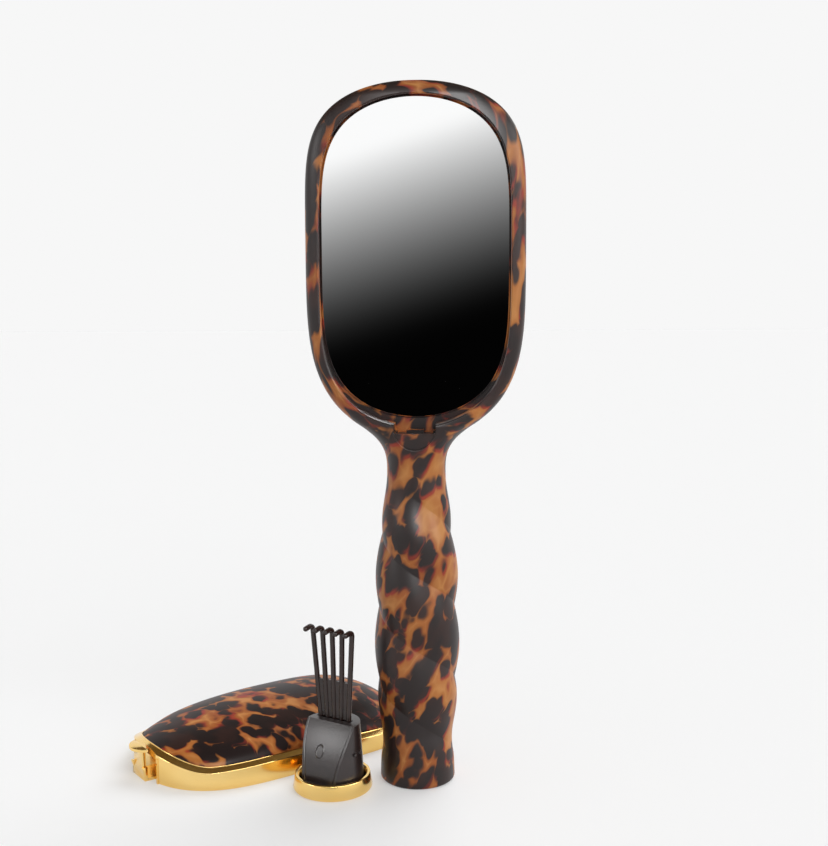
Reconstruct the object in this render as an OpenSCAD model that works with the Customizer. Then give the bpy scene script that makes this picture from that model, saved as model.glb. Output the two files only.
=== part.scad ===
// Detangling brush with a mirror back, a click-on cover and a cleaning tool kept in the handle.
// Millimetres. The brush stands on the end of its handle, centred on the origin, +Z up.
// The mirror faces -Y and the pins point to +Y. The cover and the tool stand beside it.

/* [Head] */
// Height of the whole brush, standing on its handle
total_h = 246.2; // [236:0.1:262]
// Level where the head is widest
head_mid_z = 190.5; // [186:0.5:195]
// Half of the greatest width of the head
head_half_w = 38.2; // [34:0.1:44]
// Width of the frame between the recess and the outline of the head
frame_w = 5.2; // [4:0.1:7]
// Level where the shoulders of the head have widened out of the neck
shoulder_z = 128.4; // [126:0.2:131]
// Depth from the middle of the handle to the back edge of the head
head_back = 11; // [10:0.1:13]
// Rounding of the upper end of the head
tip_round = 9; // [7:0.5:11]

/* [Handle] */
// Radius at the flat end of the handle
end_r = 13.35; // [13:0.05:15]
// Rounding at the edge of the flat end
end_round = 1.3; // [0.6:0.1:1.6]
// Level of the slim waist above the flat end
waist_z = 17; // [12:0.5:22]
// Radius at that waist
waist_r = 12.9; // [12.9:0.05:14]
// Level of the full belly of the handle
belly_z = 36; // [30:0.5:44]
// Radius at the belly
belly_r = 15.1; // [14.2:0.05:17]
// Level in the middle of the taper
taper_z = 88; // [80:0.5:94]
// Radius in the middle of the taper
taper_r = 13.7; // [12.5:0.05:15]
// Level of the slimmest part of the neck
neck_z = 112; // [108:0.5:115]
// Radius of the neck
neck_r = 10.3; // [9:0.05:12]
// Height in which a twisted rib goes once round the handle
twist_lead = 52.6; // [44:0.2:62]
// Depth of the twist's groove, as a share of the radius
twist_depth = 0.113; // [0.05:0.005:0.125]
// Place of the crease in a rib: a half leans the rib to neither side
twist_lean = 0.48; // [0.4:0.01:0.6]

/* [Mirror side] */
// Place of the mirror's face, which is the cover's seat; negative is before the handle's middle
seat_y = -1.1; // [-1.6:0.1:-0.6]
// Height of the cover's gold ledge over the seat at mid length
edge_mid_h = 7.35; // [6.6:0.05:8]
// Height of that ledge at the upper end of the head
edge_far_h = 4.25; // [3.8:0.05:5]
// Rise of that ledge towards the neck
edge_rise = 7.6; // [6:0.1:9]
// How far the closed cover's ledge stands before the frame's front edge
rim_proud = 2.1; // [1.7:0.1:2.4]
// Depth of the flange behind the seat, which the glass and its tape lie over
flange_set = 3; // [2.6:0.1:3.4]
// Width of the ledge between the mirror and the lower end of the recess
foot_ledge = 2; // [1:0.1:3]
// Gap between the glass and the frame
glass_gap = 0.15; // [0.1:0.05:0.5]
// Thickness of the mirror glass
glass_t = 1.8; // [1.2:0.1:2]
// Width of the border of the glass outside its tape
tape_in = 2.5; // [1.5:0.1:5]
// Width of the notch that the latch clicks into
notch_w = 14.3; // [13:0.1:16]
// Depth of the notch past the recess, towards the handle
notch_d = 2.6; // [2.2:0.1:3.2]
// Greatest length of the half-moon thumb recess below the notch
thumb_len = 5.5; // [4.4:0.1:6.5]
// Depth of that thumb recess where it meets the notch
thumb_d = 1.2; // [0.9:0.1:1.6]

/* [Brush side] */
// Thickness of the carrier plate between the mirror and the cushion
carrier_t = 2; // [1.5:0.1:2.2]
// Distance from the recess outline in to the cushion pocket
pocket_in = 1.2; // [0.8:0.1:1.8]
// Thickness of the rubber cushion
rubber_t = 1.2; // [1:0.1:1.4]
// Width of the ring that holds the cushion's edge
ring_w = 2.6; // [2.2:0.1:3.4]
// Thickness of that ring
ring_t = 3.9; // [3.4:0.1:4.4]
// Height of the cushion's crown over its edge
crown_h = 8.7; // [7:0.1:10]
// Thickness of the pin bed, the middle of the cushion
bed_t = 1.2; // [0.8:0.1:1.4]
// Distance from the ring in to the edge of the pin bed
bed_in = 2.4; // [2:0.1:3.5]
// Length of a pin above the bed
pin_len = 15; // [10:0.5:18]
// Width of a pin at its foot
pin_foot_w = 1.5; // [1.2:0.1:1.7]
// Width of a pin at its tip
pin_tip_w = 1; // [0.7:0.1:1.2]
// Distance between two pins in a row
pin_pitch = 4.05; // [3.7:0.05:4.2]
// Lean of the pins away from the middle, as a share of the crown's slope
pin_splay = 0.3; // [0:0.05:0.4]

/* [Cover] */
// Gap all round between the closed cover and the recess
cover_gap = 0.25; // [0.15:0.05:0.4]
// Thickness of the gold rim's wall
rim_t = 1.3; // [1:0.1:1.6]
// Width of the ledge along the top of the rim
rim_ledge = 1.75; // [1.5:0.05:2.2]
// Width of the raised lip between the ledge and the shell
lip_w = 0.35; // [0.25:0.05:0.5]
// Thickness of the tortoiseshell dome
shell_t = 1.8; // [1.4:0.1:2.2]
// Height of the dome over the rim's foot
dome_h = 19.5; // [17.5:0.1:21]

/* [Latch] */
// Thickness of the latch plate
latch_t = 1.3; // [1:0.1:1.4]
// Width of the latch plate below its shoulders
latch_low_w = 10.8; // [10:0.1:11.4]
// Width of the latch plate above its shoulders
latch_top_w = 7.5; // [6.5:0.1:8.5]
// Height of the shoulders
shoulder_h = 5; // [4.6:0.1:5.4]
// Reach of the barbs out of the plate
barb_out = 0.8; // [0.5:0.05:0.9]
// Gap behind the plate in which it bends when the tab is pushed
latch_gap = 2.7; // [2.4:0.1:3]
// Width of the half-moon thumb tab
tab_w = 12; // [11:0.1:12.6]
// Reach of the thumb tab out of the plate
tab_out = 2.9; // [2:0.1:3.6]
// Thickness of the thumb tab
tab_t = 1.1; // [0.9:0.1:1.4]

/* [Cleaning tool] */
// Height of the gold end cap
cap_h = 5.6; // [5:0.1:7]
// Radius of the cap at its foot
cap_foot_r = 14.05; // [13.6:0.05:15]
// Thickness of the cap's floor
cap_floor = 2.2; // [1.6:0.1:2.6]
// Radius of the plug that slides in the handle
plug_r = 11; // [10:0.05:11.2]
// Radius of the plug's top
plug_top_r = 9.9; // [9.4:0.05:10.2]
// Height of the plug's top over the cap's foot
plug_top_z = 23.2; // [20:0.1:26]
// Gap round the plug in the bore
plug_gap = 0.1; // [0.06:0.01:0.2]
// Number of tines of the rake
tines = 5; // [3:1:5]
// Distance between the tines at their foot
tine_pitch = 2.8; // [2.4:0.05:2.9]
// Distance between the tines at their top
tine_top_pitch = 4.06; // [3:0.02:4.2]
// Thickness of a tine
tine_t = 1.45; // [1.1:0.05:1.7]
// Distance from the plug's axis back to the row of tines
tine_back = 3; // [2:0.1:3.4]
// Height of the rake's top over the cap's foot
rake_top_z = 58; // [46:0.5:60]
// Length of the hooks at the top of the tines
hook_len = 5.5; // [3:0.1:6]
// Height of the webs between the tines over the plug
web_h = 15; // [8:0.5:20]

/* [Layout] */
// Gap between the handle's end and the standing tool
tool_clear = 4.12; // [2:0.02:12]
// Direction from the handle to the tool, counted from +X
tool_side = 199.92; // [190:0.02:210]
// Turn of the tool about the upright
tool_turn = -28.5; // [-40:0.5:-10]
// Gap between the tool and the side of the lying cover
cover_clear = 2.54; // [1:0.02:12]
// Distance from the cover's latch, along the cover, to the tool
cover_past = 51.84; // [40:0.02:60]
// Turn of the cover about the upright
cover_turn = -50.41; // [-60:0.01:-40]

/* [Hidden] */
$fn = 64;
cut = 1; // how far a cut runs past the face that it opens
touch = 0.3; // how deep joined forms of one piece run into each other
seam = 0.1; // gap between a seated piece and the pocket round it
far_out = 30; // farther from the mirror's plane than any surface of the head

// Outline of the head: two powers shape its upper and its lower end
head_top_len = total_h - head_mid_z;
head_low_len = 67.3;
head_top_power = 4.95;
head_low_power = 4.05;
open_half_w = head_half_w - frame_w;
open_top_len = head_top_len - frame_w;
open_low_len = head_low_len - frame_w;
open_top_power = 4.2;
open_low_power = 4.55;
open_low_z = head_mid_z - open_low_len;
open_top_z = head_mid_z + open_top_len;
head_power = 3.4; // squareness of the head's section; 2 is a plain ellipse
head_shift = 2; // how far the head's widest line lies behind the handle's axis

// Lengths over which the neck turns into the head, from its slimmest level up
square_len = 34;
shift_len = 30;
thin_len = 26;
blend_len = 5; // the neck's flare blends into the oval over this length
flare_power = 2.8;
// Lengths over which the twist fades at the neck and above the flat end
fade_top_len = 18;
fade_low_z = 6;
fade_low_len = 14;

columns = 40; // points round a ring of the frame
oval_steps = 13; // points on a quarter of the head's ovals
handle_rings = 46;
shoulder_rings = 12;
low_rings = 9;
top_rings = 11;
close_z = shoulder_z + 6; // below this level the rings lie close
shoulder_over = 0.6; // how far the neck's flare would pass the oval at the shoulders

bed_steps = 8; // points on a quarter of the cushion's crown
crown_rings = 7;
crown_spread = function (k) 1 - pow(k / crown_rings, 2);

// The ribs of the twist follow the columns, so the columns must end square to the axes
twist_phase = 0.574;
column_turn = 360 / columns;
turns_of_columns = ceil(columns * (neck_z / twist_lead + twist_phase / 2));
twist_end_z = twist_lead * (turns_of_columns / columns - twist_phase / 2);

seat_far = open_top_z - open_low_z;
edge_peak = 0.36 * seat_far; // place where the ledge is highest, apart from its rise at the neck
edge_dip = 0.85; // fall of the ledge between there and the neck
rise_len = 14; // length of the rise at the neck
rise_power = 1.7;
cover_s = 1.44; // reach of the latch's face past the recess outline
edge_neck_h = edge_h(open_low_z);

flange_y = seat_y + flange_set;
cushion_y = flange_y + carrier_t;
ring_y = cushion_y + rubber_t;
dome_in = pocket_in + seam + ring_w; // outline of the cushion's dome, in from the recess outline
bed_edge = dome_in + bed_in;
pin_in = 1.2; // distance of the outer pins from the edge of their bed
row_pitch = pin_pitch * sqrt(3) / 2;
middle_z = head_mid_z - 6; // level of the middle row of pins and of the dome's middle
bed_rings = 5;
pin_rows = ceil(open_low_len / row_pitch); // more rows than fit to either side of the middle
pins_across = ceil(open_half_w / pin_pitch);

bore_r = plug_r + plug_gap;
bore_room = 3.2; // room over the stowed rake
bore_len = rake_top_z - cap_h + bore_room;
lug_z = 13.4; // height of the plug's lugs over the cap's foot
lug_out = 0.7;
lug_turn = 8; // half of the angle between the two lugs
lug_w = 2.2;
lug_h = 1.1;
root_in = 3; // how far a tine runs down into the rake's root
root_over = 0.2; // how much thicker the rake's root is than a tine, to either side
web_t = 0.6;
tine_bend_r = 1.6;
hook_droop = 8; // the hooks point a little down

dome_peak_s = 62; // distance of the dome's highest point from the latch's face
dome_low_power = 2;
dome_top_power = 3.4;
tongue_w = 16; // the cover's tongue hooks under the frame at the far end
tongue_out = 1.2;
tongue_h = [0.2, 1];
tongue_play = 0.2;
rim_bevel = 0.35;
lip_h = 0.5;
shelf_t = 1; // thickness of the shelf in the rim that carries the shell
shelf_set = 0.8; // depth of the shelf under the rim's ledge
shell_in = cover_gap + rim_ledge + lip_w + seam / 2; // outline of the shell, in from the recess outline
latch_side = 7; // half width of the opening in the rim for the latch
latch_back_s = latch_t + latch_gap; // front of the wall behind the latch
latch_play = 0.35; // room round the closed latch in its notch
notch_floor = 0.2; // depth of the notch's floor behind the seat
barb_x = (latch_top_w + latch_low_w) / 4;
barb_slot_w = 3.2;
barb_h = 2.6;
barb_edge = 0.5;
thumb_edge = 0.3; // how far the thumb recess stays inside the notch at either side
strap_t = 1;
wall_t = 1.1;
tab_top_h = edge_neck_h + 0.4;
behind_tab = 0.5; // width of the strip of the rim's ledge that stays behind the tab

// Places of the two loose pieces
tool_at = (end_r + cap_foot_r + tool_clear) * [cos(tool_side), sin(tool_side)];
cover_across = [cos(cover_turn), sin(cover_turn)];
cover_along = [-sin(cover_turn), cos(cover_turn)];
cover_at = tool_at - cover_past * cover_along
    - (open_half_w - cover_gap + cover_clear + cap_foot_r) * cover_across;

// General helpers
function ease(t) = let (u = min(1, max(0, t))) u * u * (3 - 2 * u);
function signed_power(v, p) = sign(v) * pow(abs(v), p);
// Half width of an oval's end at distance d from its widest line
function reach(d, length, power) = sqrt(max(0, 1 - pow(min(1, abs(d) / length), power)));
// A curve from a to b with the given slopes at its ends
function bridge(a, b, slope_a, slope_b, length, t) =
    let (u = t / length)
    a * (2 * pow(u, 3) - 3 * pow(u, 2) + 1) + b * (3 * pow(u, 2) - 2 * pow(u, 3))
    + slope_a * length * (pow(u, 3) - 2 * pow(u, 2) + u) + slope_b * length * (pow(u, 3) - pow(u, 2));

// The skin over a stack of rings: every ring has as many points as the others
function skin(rings, count, first = 0) = [
    for (r = [0:rings - 2]) for (i = [0:count - 1])
        let (a = first + r * count + i, b = first + r * count + (i + 1) % count)
            for (face = [[a, a + count, b + count], [a, b + count, b]]) face
];
// A fan from one point over a ring; flip turns it over
function fan(tip, start, count, flip = false) = [
    for (i = [0:count - 1])
        let (a = start + i, b = start + (i + 1) % count)
            flip ? [tip, b, a] : [tip, a, b]
];

// Outline of the mirror recess, drawn in by inset, from the right side over the top
// Its lower end can be drawn in by a further length
function oval(inset, steps = oval_steps, low_in = 0) =
    let (w = open_half_w - inset, up = open_top_len - inset, down = open_low_len - inset - low_in)
    let (x_up = function (i) w * reach(spread(i, steps) * up, up, open_top_power))
    let (x_down = function (i) w * reach(spread(i, steps) * down, down, open_low_power))
    concat(
        [for (i = [0:steps - 1]) [x_up(i), head_mid_z + up * spread(i, steps)]],
        [for (i = [steps:-1:1]) [-x_up(i), head_mid_z + up * spread(i, steps)]],
        [for (i = [0:steps - 1]) [-x_down(i), head_mid_z - down * spread(i, steps)]],
        [for (i = [steps:-1:1]) [x_down(i), head_mid_z - down * spread(i, steps)]]
    );
// Points of a quarter lie closer towards its end, so that the end is round
function spread(i, steps) = 1 - pow(1 - i / steps, 2);
// The same outline the other way round, for forms that rise towards +Y
function back_oval(inset, steps) =
    let (points = oval(inset, steps))
    [for (i = [len(points) - 1:-1:0]) points[i]];
// 1 on the oval drawn in by inset, less inside it
function oval_level(x, z, inset) =
    let (up = z > head_mid_z)
    let (length = (up ? open_top_len : open_low_len) - inset)
    pow(x / (open_half_w - inset), 2)
    + pow(abs(z - head_mid_z) / length, up ? open_top_power : open_low_power);
// Half width of the recess at level z
function open_half(z, inset = 0) =
    z > head_mid_z
        ? (open_half_w - inset) * reach(z - head_mid_z, open_top_len - inset, open_top_power)
        : (open_half_w - inset) * reach(z - head_mid_z, open_low_len - inset, open_low_power);

// Height of the cover's ledge over its seat: it rises towards the neck
function edge_h(z) =
    let (s = z - open_low_z)
    let (fall = s > edge_peak
        ? (edge_mid_h - edge_far_h) * pow((s - edge_peak) / (seat_far - edge_peak), 2)
        : edge_dip * pow((edge_peak - s) / (edge_peak - rise_len), 2))
    edge_mid_h - fall + edge_rise * pow(max(0, 1 - s / rise_len), rise_power);

// The frame's front edge follows the ledge and lies behind it
function front_edge_y(z) = seat_y - edge_h(z) + rim_proud;
// Height of the ledge at the rim's outer side, for a point on an outline drawn in by inset
function rim_h(z, inset) =
    let (length = z > head_mid_z ? open_top_len : open_low_len)
    edge_h(head_mid_z + (z - head_mid_z) * (length - cover_gap) / (length - inset));

// Outer form of the frame
function handle_r(z) =
    z < waist_z ? bridge(end_r, waist_r, 0, 0, waist_z, z)
    : z < belly_z ? bridge(waist_r, belly_r, 0, 0, belly_z - waist_z, z - waist_z)
    : z < taper_z ? bridge(belly_r, taper_r, 0, -0.1, taper_z - belly_z, z - belly_z)
    : bridge(taper_r, neck_r, -0.1, 0, neck_z - taper_z, min(z, neck_z) - taper_z);
function oval_half(z) =
    z > head_mid_z
        ? head_half_w * reach(z - head_mid_z, head_top_len, head_top_power)
        : head_half_w * reach(z - head_mid_z, head_low_len, head_low_power);
function shoulder_half(z) =
    neck_r + (oval_half(shoulder_z) + shoulder_over - neck_r)
    * pow((z - neck_z) / (shoulder_z - neck_z), flare_power);
function half_w(z) =
    let (t = ease((z - shoulder_z) / blend_len + 0.5))
    z < neck_z ? handle_r(z)
    : t == 0 ? shoulder_half(z)
    : shoulder_half(z) * (1 - t) + oval_half(z) * t;
function mid_y(z) = head_shift * ease((z - neck_z) / shift_len);
function end_factor(z) = sqrt(max(0, 1 - pow(max(0, z - total_h + tip_round) / tip_round, 2)));
function squareness(z) = 2 + (head_power - 2) * ease((z - neck_z) / square_len);
// Depth behind and before the widest line
function back_depth(z) =
    neck_r + (head_back - head_shift - neck_r) * ease((z - neck_z) / thin_len);
function front_depth(z) =
    let (n = squareness(z), level = min(z, open_top_z))
    let (u = open_half(level) / half_w(level))
    let (at_edge = pow(1 - pow(u, n), 1 / n) * end_factor(level))
    let (lift = ease((z - neck_z) / (open_low_z - neck_z)))
    z < open_low_z
        ? neck_r - (front_edge_y(open_low_z) + neck_r) * lift + mid_y(z)
        : (mid_y(level) - front_edge_y(level)) / at_edge;

// Radius of the twisted handle: a rib swells between two creases, and fades at both ends
function rib(share) =
    share < twist_lean ? share / twist_lean / 2 : 0.5 + (share - twist_lean) / (1 - twist_lean) / 2;
function twist_factor(column, z) =
    let (share = (column % (columns / 2)) / (columns / 2))
    let (fade = ease((neck_z - z) / fade_top_len) * ease((z - fade_low_z) / fade_low_len))
    1 - twist_depth * fade * (1 - sin(180 * rib(share)));
function column_angle(column, z) =
    column * column_turn - 180 * twist_phase - 360 * min(z, twist_end_z) / twist_lead;

function frame_ring(z, shrink = 0) =
    let (n = squareness(z), power = 2 / n, round_end = z > head_mid_z ? end_factor(z) : 1)
    [for (column = [0:columns - 1])
        let (a = column_angle(column, z), r = z < neck_z ? twist_factor(column, z) : 1)
        let (side = sin(a) < 0 ? front_depth(z) : back_depth(z))
        [
            (half_w(z) - shrink) * r * signed_power(cos(a), power),
            mid_y(z) + (z < neck_z ? handle_r(z) - shrink : side * round_end) * r
                * signed_power(sin(a), power),
            z
        ]];
function frame_levels() = concat(
    [for (i = [0:handle_rings]) end_round + (neck_z - end_round) * i / handle_rings],
    [for (i = [1:shoulder_rings]) neck_z + (close_z - neck_z) * i / shoulder_rings],
    [for (i = [1:low_rings]) close_z + (head_mid_z - close_z) * i / low_rings],
    [for (i = [1:top_rings - 1]) head_mid_z + head_top_len * spread(i, top_rings)]
);

module frame_body() {
    foot = [for (a = [0:30:60]) each frame_ring(end_round * (1 - cos(a)), end_round * (1 - sin(a)))];
    levels = frame_levels();
    rings = len(levels) + 3;
    points = concat(
        [[0, 0, 0]],
        foot,
        [for (z = levels) each frame_ring(z)],
        [[0, mid_y(total_h), total_h]]
    );
    faces = concat(
        fan(0, 1, columns),
        skin(rings, columns, 1),
        fan(len(points) - 1, 1 + (rings - 1) * columns, columns, true)
    );
    polyhedron(points, faces);
}

// A slab between two depths, with an outline in the plane of the mirror
module slab(front, back) {
    translate([0, back, 0])
        rotate([90, 0, 0])
            linear_extrude(back - front)
                children();
}

module notch_cuts() {
    floor_y = seat_y + notch_floor;
    latch_low_z = open_low_z - notch_d;
    hold_h = shoulder_h + latch_play; // the barbs hook under the wall above this height
    slab(-far_out, seat_y - hold_h)
        translate([-notch_w / 2, latch_low_z])
            square([notch_w, notch_d + cut]);
    slab(seat_y - hold_h - touch, floor_y)
        translate([-notch_w / 2, open_low_z - cover_s - latch_play])
            square([notch_w, cover_s + latch_play + foot_ledge + cut]);
    for (side = [-1, 1])
        slab(seat_y - hold_h, floor_y)
            translate([side * barb_x - barb_slot_w / 2, latch_low_z])
                square([barb_slot_w, notch_d]);
    // Half-moon thumb recess
    chord = notch_w / 2 - thumb_edge;
    thumb_r = (chord * chord + thumb_len * thumb_len) / (2 * thumb_len);
    slab(-far_out, front_edge_y(open_low_z) + thumb_d)
        intersection() {
            translate([0, latch_low_z - thumb_len + thumb_r])
                circle(thumb_r);
            translate([-chord, latch_low_z - thumb_len - cut])
                square([2 * chord, thumb_len + cut + touch]);
        }
}

module handle_frame() {
    color("saddlebrown")
        difference() {
            frame_body();
            // Recess for the cover, pocket for the mirror and pocket for the cushion
            slab(-far_out, seat_y)
                polygon(oval(0));
            slab(seat_y - cut, flange_y)
                polygon(oval(0, low_in = foot_ledge));
            slab(flange_y - cut, flange_y + cut)
                polygon(oval(pocket_in, low_in = foot_ledge));
            slab(flange_y, far_out)
                polygon(oval(pocket_in));
            notch_cuts();
            // Slot for the cover's tongue
            slab(seat_y - tongue_h[1] - tongue_play, seat_y - tongue_h[0] + tongue_play)
                translate([-tongue_w / 2 - tongue_play, open_top_z - cut])
                    square([tongue_w + 2 * tongue_play, cut + tongue_out + tongue_play]);
            // Bore for the cleaning tool, with pockets for its lugs
            translate([0, 0, -cut])
                cylinder(h = bore_len + cut, r = bore_r);
            for (side = [-1, 1])
                rotate([0, 0, side * lug_turn])
                    translate([0, -lug_w / 2 - seam, lug_z - cap_h - lug_h / 2 - seam])
                        cube([bore_r + lug_out + seam, lug_w + 2 * seam, lug_h + 2 * seam]);
        }
}

module mirror_glass() {
    color("silver")
        slab(seat_y, seat_y + glass_t)
            polygon(oval(glass_gap, low_in = foot_ledge));
}

module mirror_tape() {
    color("dimgray")
        slab(seat_y + glass_t, flange_y)
            polygon(oval(glass_gap + tape_in, low_in = foot_ledge));
}

module carrier_plate() {
    color("black")
        slab(flange_y, cushion_y)
            polygon(oval(pocket_in + seam));
}

// The cushion's crown over the carrier plate's plane, at height rise over its edge
function crown_y(x, z, inset, height) =
    height * pow(max(0, 1 - oval_level(x, z, inset)), 0.5);
function crown_ring(share, inset, height, base) = [
    for (p = back_oval(inset, bed_steps))
        let (x = p[0] * share, z = head_mid_z + (p[1] - head_mid_z) * share)
        [x, base + crown_y(x, z, inset, height), z]
];
module cushion_dome(inset, height, base, lowest) {
    count = 4 * bed_steps;
    points = concat(
        [for (p = back_oval(inset, bed_steps)) [p[0], lowest, p[1]]],
        [for (k = [0:crown_rings - 1]) each crown_ring(crown_spread(k), inset, height, base)],
        [[0, base + height, head_mid_z], [0, lowest, head_mid_z]]
    );
    last = len(points) - 1;
    faces = concat(
        skin(crown_rings + 1, count),
        fan(last - 1, crown_rings * count, count, true),
        fan(last, 0, count)
    );
    polyhedron(points, faces);
}

module bristle_cushion() {
    color("dimgray")
        difference() {
            union() {
                slab(cushion_y, ring_y)
                    polygon(oval(pocket_in + seam));
                cushion_dome(dome_in + seam, crown_h, ring_y - touch, cushion_y + touch);
            }
            cushion_dome(dome_in + seam + rubber_t, crown_h - rubber_t, ring_y - touch, cushion_y - cut);
            // Window for the pin bed
            slab(cushion_y, ring_y + crown_h + cut)
                polygon(oval(bed_edge, bed_steps));
        }
}

module cushion_ring() {
    color("black")
        difference() {
            slab(ring_y, ring_y + ring_t)
                polygon(oval(pocket_in + seam));
            slab(ring_y - cut, ring_y + ring_t + cut)
                polygon(oval(dome_in));
        }
}

// Places of the pins: rows across the head, every other one shifted by half a pitch
function pin_places() = [
    for (row = [-pin_rows:pin_rows]) for (place = [-pins_across:pins_across])
        let (x = (place + (row % 2 == 0 ? 0 : 0.5)) * pin_pitch, z = middle_z + row * row_pitch)
        if (z > open_low_z && z < open_top_z && oval_level(x, z, bed_edge + pin_in) < 1)
            [x, z]
];
function bed_y(x, z) = ring_y - touch + crown_y(x, z, dome_in + seam, crown_h);
function pin_lean(x, z) =
    let (step = 0.5)
    pin_splay * [bed_y(x, z) - bed_y(x + step, z), bed_y(x, z) - bed_y(x, z + step)] / step;

module pin(place) {
    x = place[0];
    z = place[1];
    lean = pin_lean(x, z);
    foot_y = bed_y(x, z) - bed_t / 2;
    tip_y = bed_y(x, z) + pin_len;
    shift = lean * (tip_y - foot_y);
    foot_r = pin_foot_w / sqrt(3);
    tip_r = pin_tip_w / sqrt(3);
    points = concat(
        [for (a = [330, 210, 90]) [x + foot_r * cos(a), foot_y, z + foot_r * sin(a)]],
        [for (a = [330, 210, 90]) [x + shift[0] + tip_r * cos(a), tip_y, z + shift[1] + tip_r * sin(a)]]
    );
    polyhedron(points, concat([[0, 1, 2], [5, 4, 3]], skin(2, 3)));
}

module pin_bed() {
    color("black")
        union() {
            bed_slice();
            for (place = pin_places())
                pin(place);
        }
}

// The slice of the cushion's crown that the pins stand in
module bed_slice() {
    count = 4 * bed_steps;
    shares = [for (k = [0:bed_rings - 1]) 1 - pow(k / bed_rings, 2)];
    ring = function (share, drop) [
        for (p = back_oval(bed_edge + seam, bed_steps))
            let (x = p[0] * share, z = head_mid_z + (p[1] - head_mid_z) * share)
            [x, bed_y(x, z) - drop, z]
    ];
    points = concat(
        [[0, bed_y(0, head_mid_z) - bed_t, head_mid_z]],
        [for (k = [bed_rings - 1:-1:0]) each ring(shares[k], bed_t)],
        [for (k = [0:bed_rings - 1]) each ring(shares[k], 0)],
        [[0, bed_y(0, head_mid_z), head_mid_z]]
    );
    faces = concat(
        fan(0, 1, count),
        skin(2 * bed_rings, count, 1),
        fan(len(points) - 1, 1 + (2 * bed_rings - 1) * count, count, true)
    );
    polyhedron(points, faces);
}

// The cover is drawn as it sits closed in the frame, and then laid beside the brush
module laid_cover() {
    translate([cover_at[0], cover_at[1], seat_y])
        rotate([0, 0, cover_turn])
            rotate([-90, 0, 0])
                translate([0, 0, -(open_low_z - cover_s)])
                    children();
}

module rim_body() {
    wall_in = cover_gap + rim_t;
    lip_in = cover_gap + rim_ledge;
    // Inset from the recess outline, height from the foot, and share of the edge's height
    profile = [
        [cover_gap, 0, 0],
        [cover_gap, -rim_bevel, 1],
        [cover_gap + rim_bevel, 0, 1],
        [lip_in, 0, 1],
        [lip_in, lip_h, 1],
        [lip_in + lip_w, lip_h, 1],
        [lip_in + lip_w, -shelf_set, 1],
        [shell_in + shell_t, -shelf_set, 1],
        [shell_in + shell_t, -shelf_set - shelf_t, 1],
        [wall_in, -shelf_set - shelf_t, 1],
        [wall_in, 0, 0]
    ];
    outline = oval(cover_gap);
    count = len(outline);
    points = [
        for (p = profile)
            let (drawn = oval(p[0]))
            for (i = [0:count - 1])
                [drawn[i][0], seat_y - p[1] - p[2] * edge_h(outline[i][1]), drawn[i][1]]
    ];
    rings = len(profile);
    closing = [
        for (i = [0:count - 1])
            let (a = (rings - 1) * count + i, b = (rings - 1) * count + (i + 1) % count)
            each [[a, i, (i + 1) % count], [a, (i + 1) % count, b]]
    ];
    polyhedron(points, concat(skin(rings, count), closing));
}

// A box in the cover's own measures: across, along from the latch's face, up from the foot
module cover_box(across, along, up) {
    translate([across[0], seat_y - up[1], open_low_z - cover_s + along[0]])
        cube([across[1] - across[0], up[1] - up[0], along[1] - along[0]]);
}

module cover_rim() {
    outer_side = latch_side + wall_t;
    wall_h = edge_neck_h - shelf_set - shelf_t - 0.4; // just into the shelf, which falls away from the neck
    ledge_s = cover_s + cover_gap + rim_ledge - behind_tab;
    color("gold")
        laid_cover()
            union() {
                difference() {
                    rim_body();
                    cover_box([-latch_side, latch_side], [-cut, ledge_s], [-cut, far_out]);
                    cover_box([-latch_side, latch_side], [-cut, latch_back_s], [-cut, wall_h - 0.6]);
                }
                // Tongue at the far end
                cover_box(
                    [-tongue_w / 2, tongue_w / 2],
                    [seat_far + cover_s - cover_gap - rim_t + touch, seat_far + cover_s + tongue_out],
                    tongue_h
                );
                // Walls round the latch, and the strap that its bend hangs on
                cover_box([-outer_side, outer_side], [latch_back_s, latch_back_s + wall_t], [0, wall_h]);
                for (side = [-1, 1])
                    cover_box(
                        [side > 0 ? latch_side : -outer_side, side > 0 ? outer_side : -latch_side],
                        [cover_s + cover_gap + rim_t - touch, latch_back_s + touch],
                        [0, wall_h]
                    );
                cover_box(
                    [-latch_low_w / 2, latch_low_w / 2],
                    [latch_t, latch_back_s + touch],
                    [0, strap_t]
                );
            }
}

module release_latch() {
    tab_r = (tab_w * tab_w / 4 + pow(tab_out + latch_t, 2)) / (2 * (tab_out + latch_t));
    plate_top = tab_top_h - tab_t;
    color("gold")
        laid_cover()
            union() {
                cover_box([-latch_low_w / 2, latch_low_w / 2], [0, latch_t], [0, shoulder_h]);
                cover_box(
                    [-latch_top_w / 2, latch_top_w / 2],
                    [0, latch_t],
                    [shoulder_h - touch, plate_top + touch]
                );
                // Barbs under the shoulders
                for (side = [-1, 1])
                    translate([side * barb_x, seat_y - shoulder_h, open_low_z - cover_s])
                        rotate([0, 90, 0])
                            linear_extrude((latch_low_w - latch_top_w) / 2, center = true)
                                polygon([
                                    [-touch, 0],
                                    [barb_out, 0],
                                    [barb_out, barb_edge],
                                    [0, barb_h],
                                    [-touch, barb_h]
                                ]);
                // Half-moon thumb tab
                intersection() {
                    slab(seat_y - tab_top_h, seat_y - tab_top_h + tab_t)
                        translate([0, open_low_z - cover_s - tab_out + tab_r])
                            circle(tab_r);
                    cover_box([-tab_w, tab_w], [-tab_out - cut, latch_t], [0, far_out]);
                }
            }
}

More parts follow.
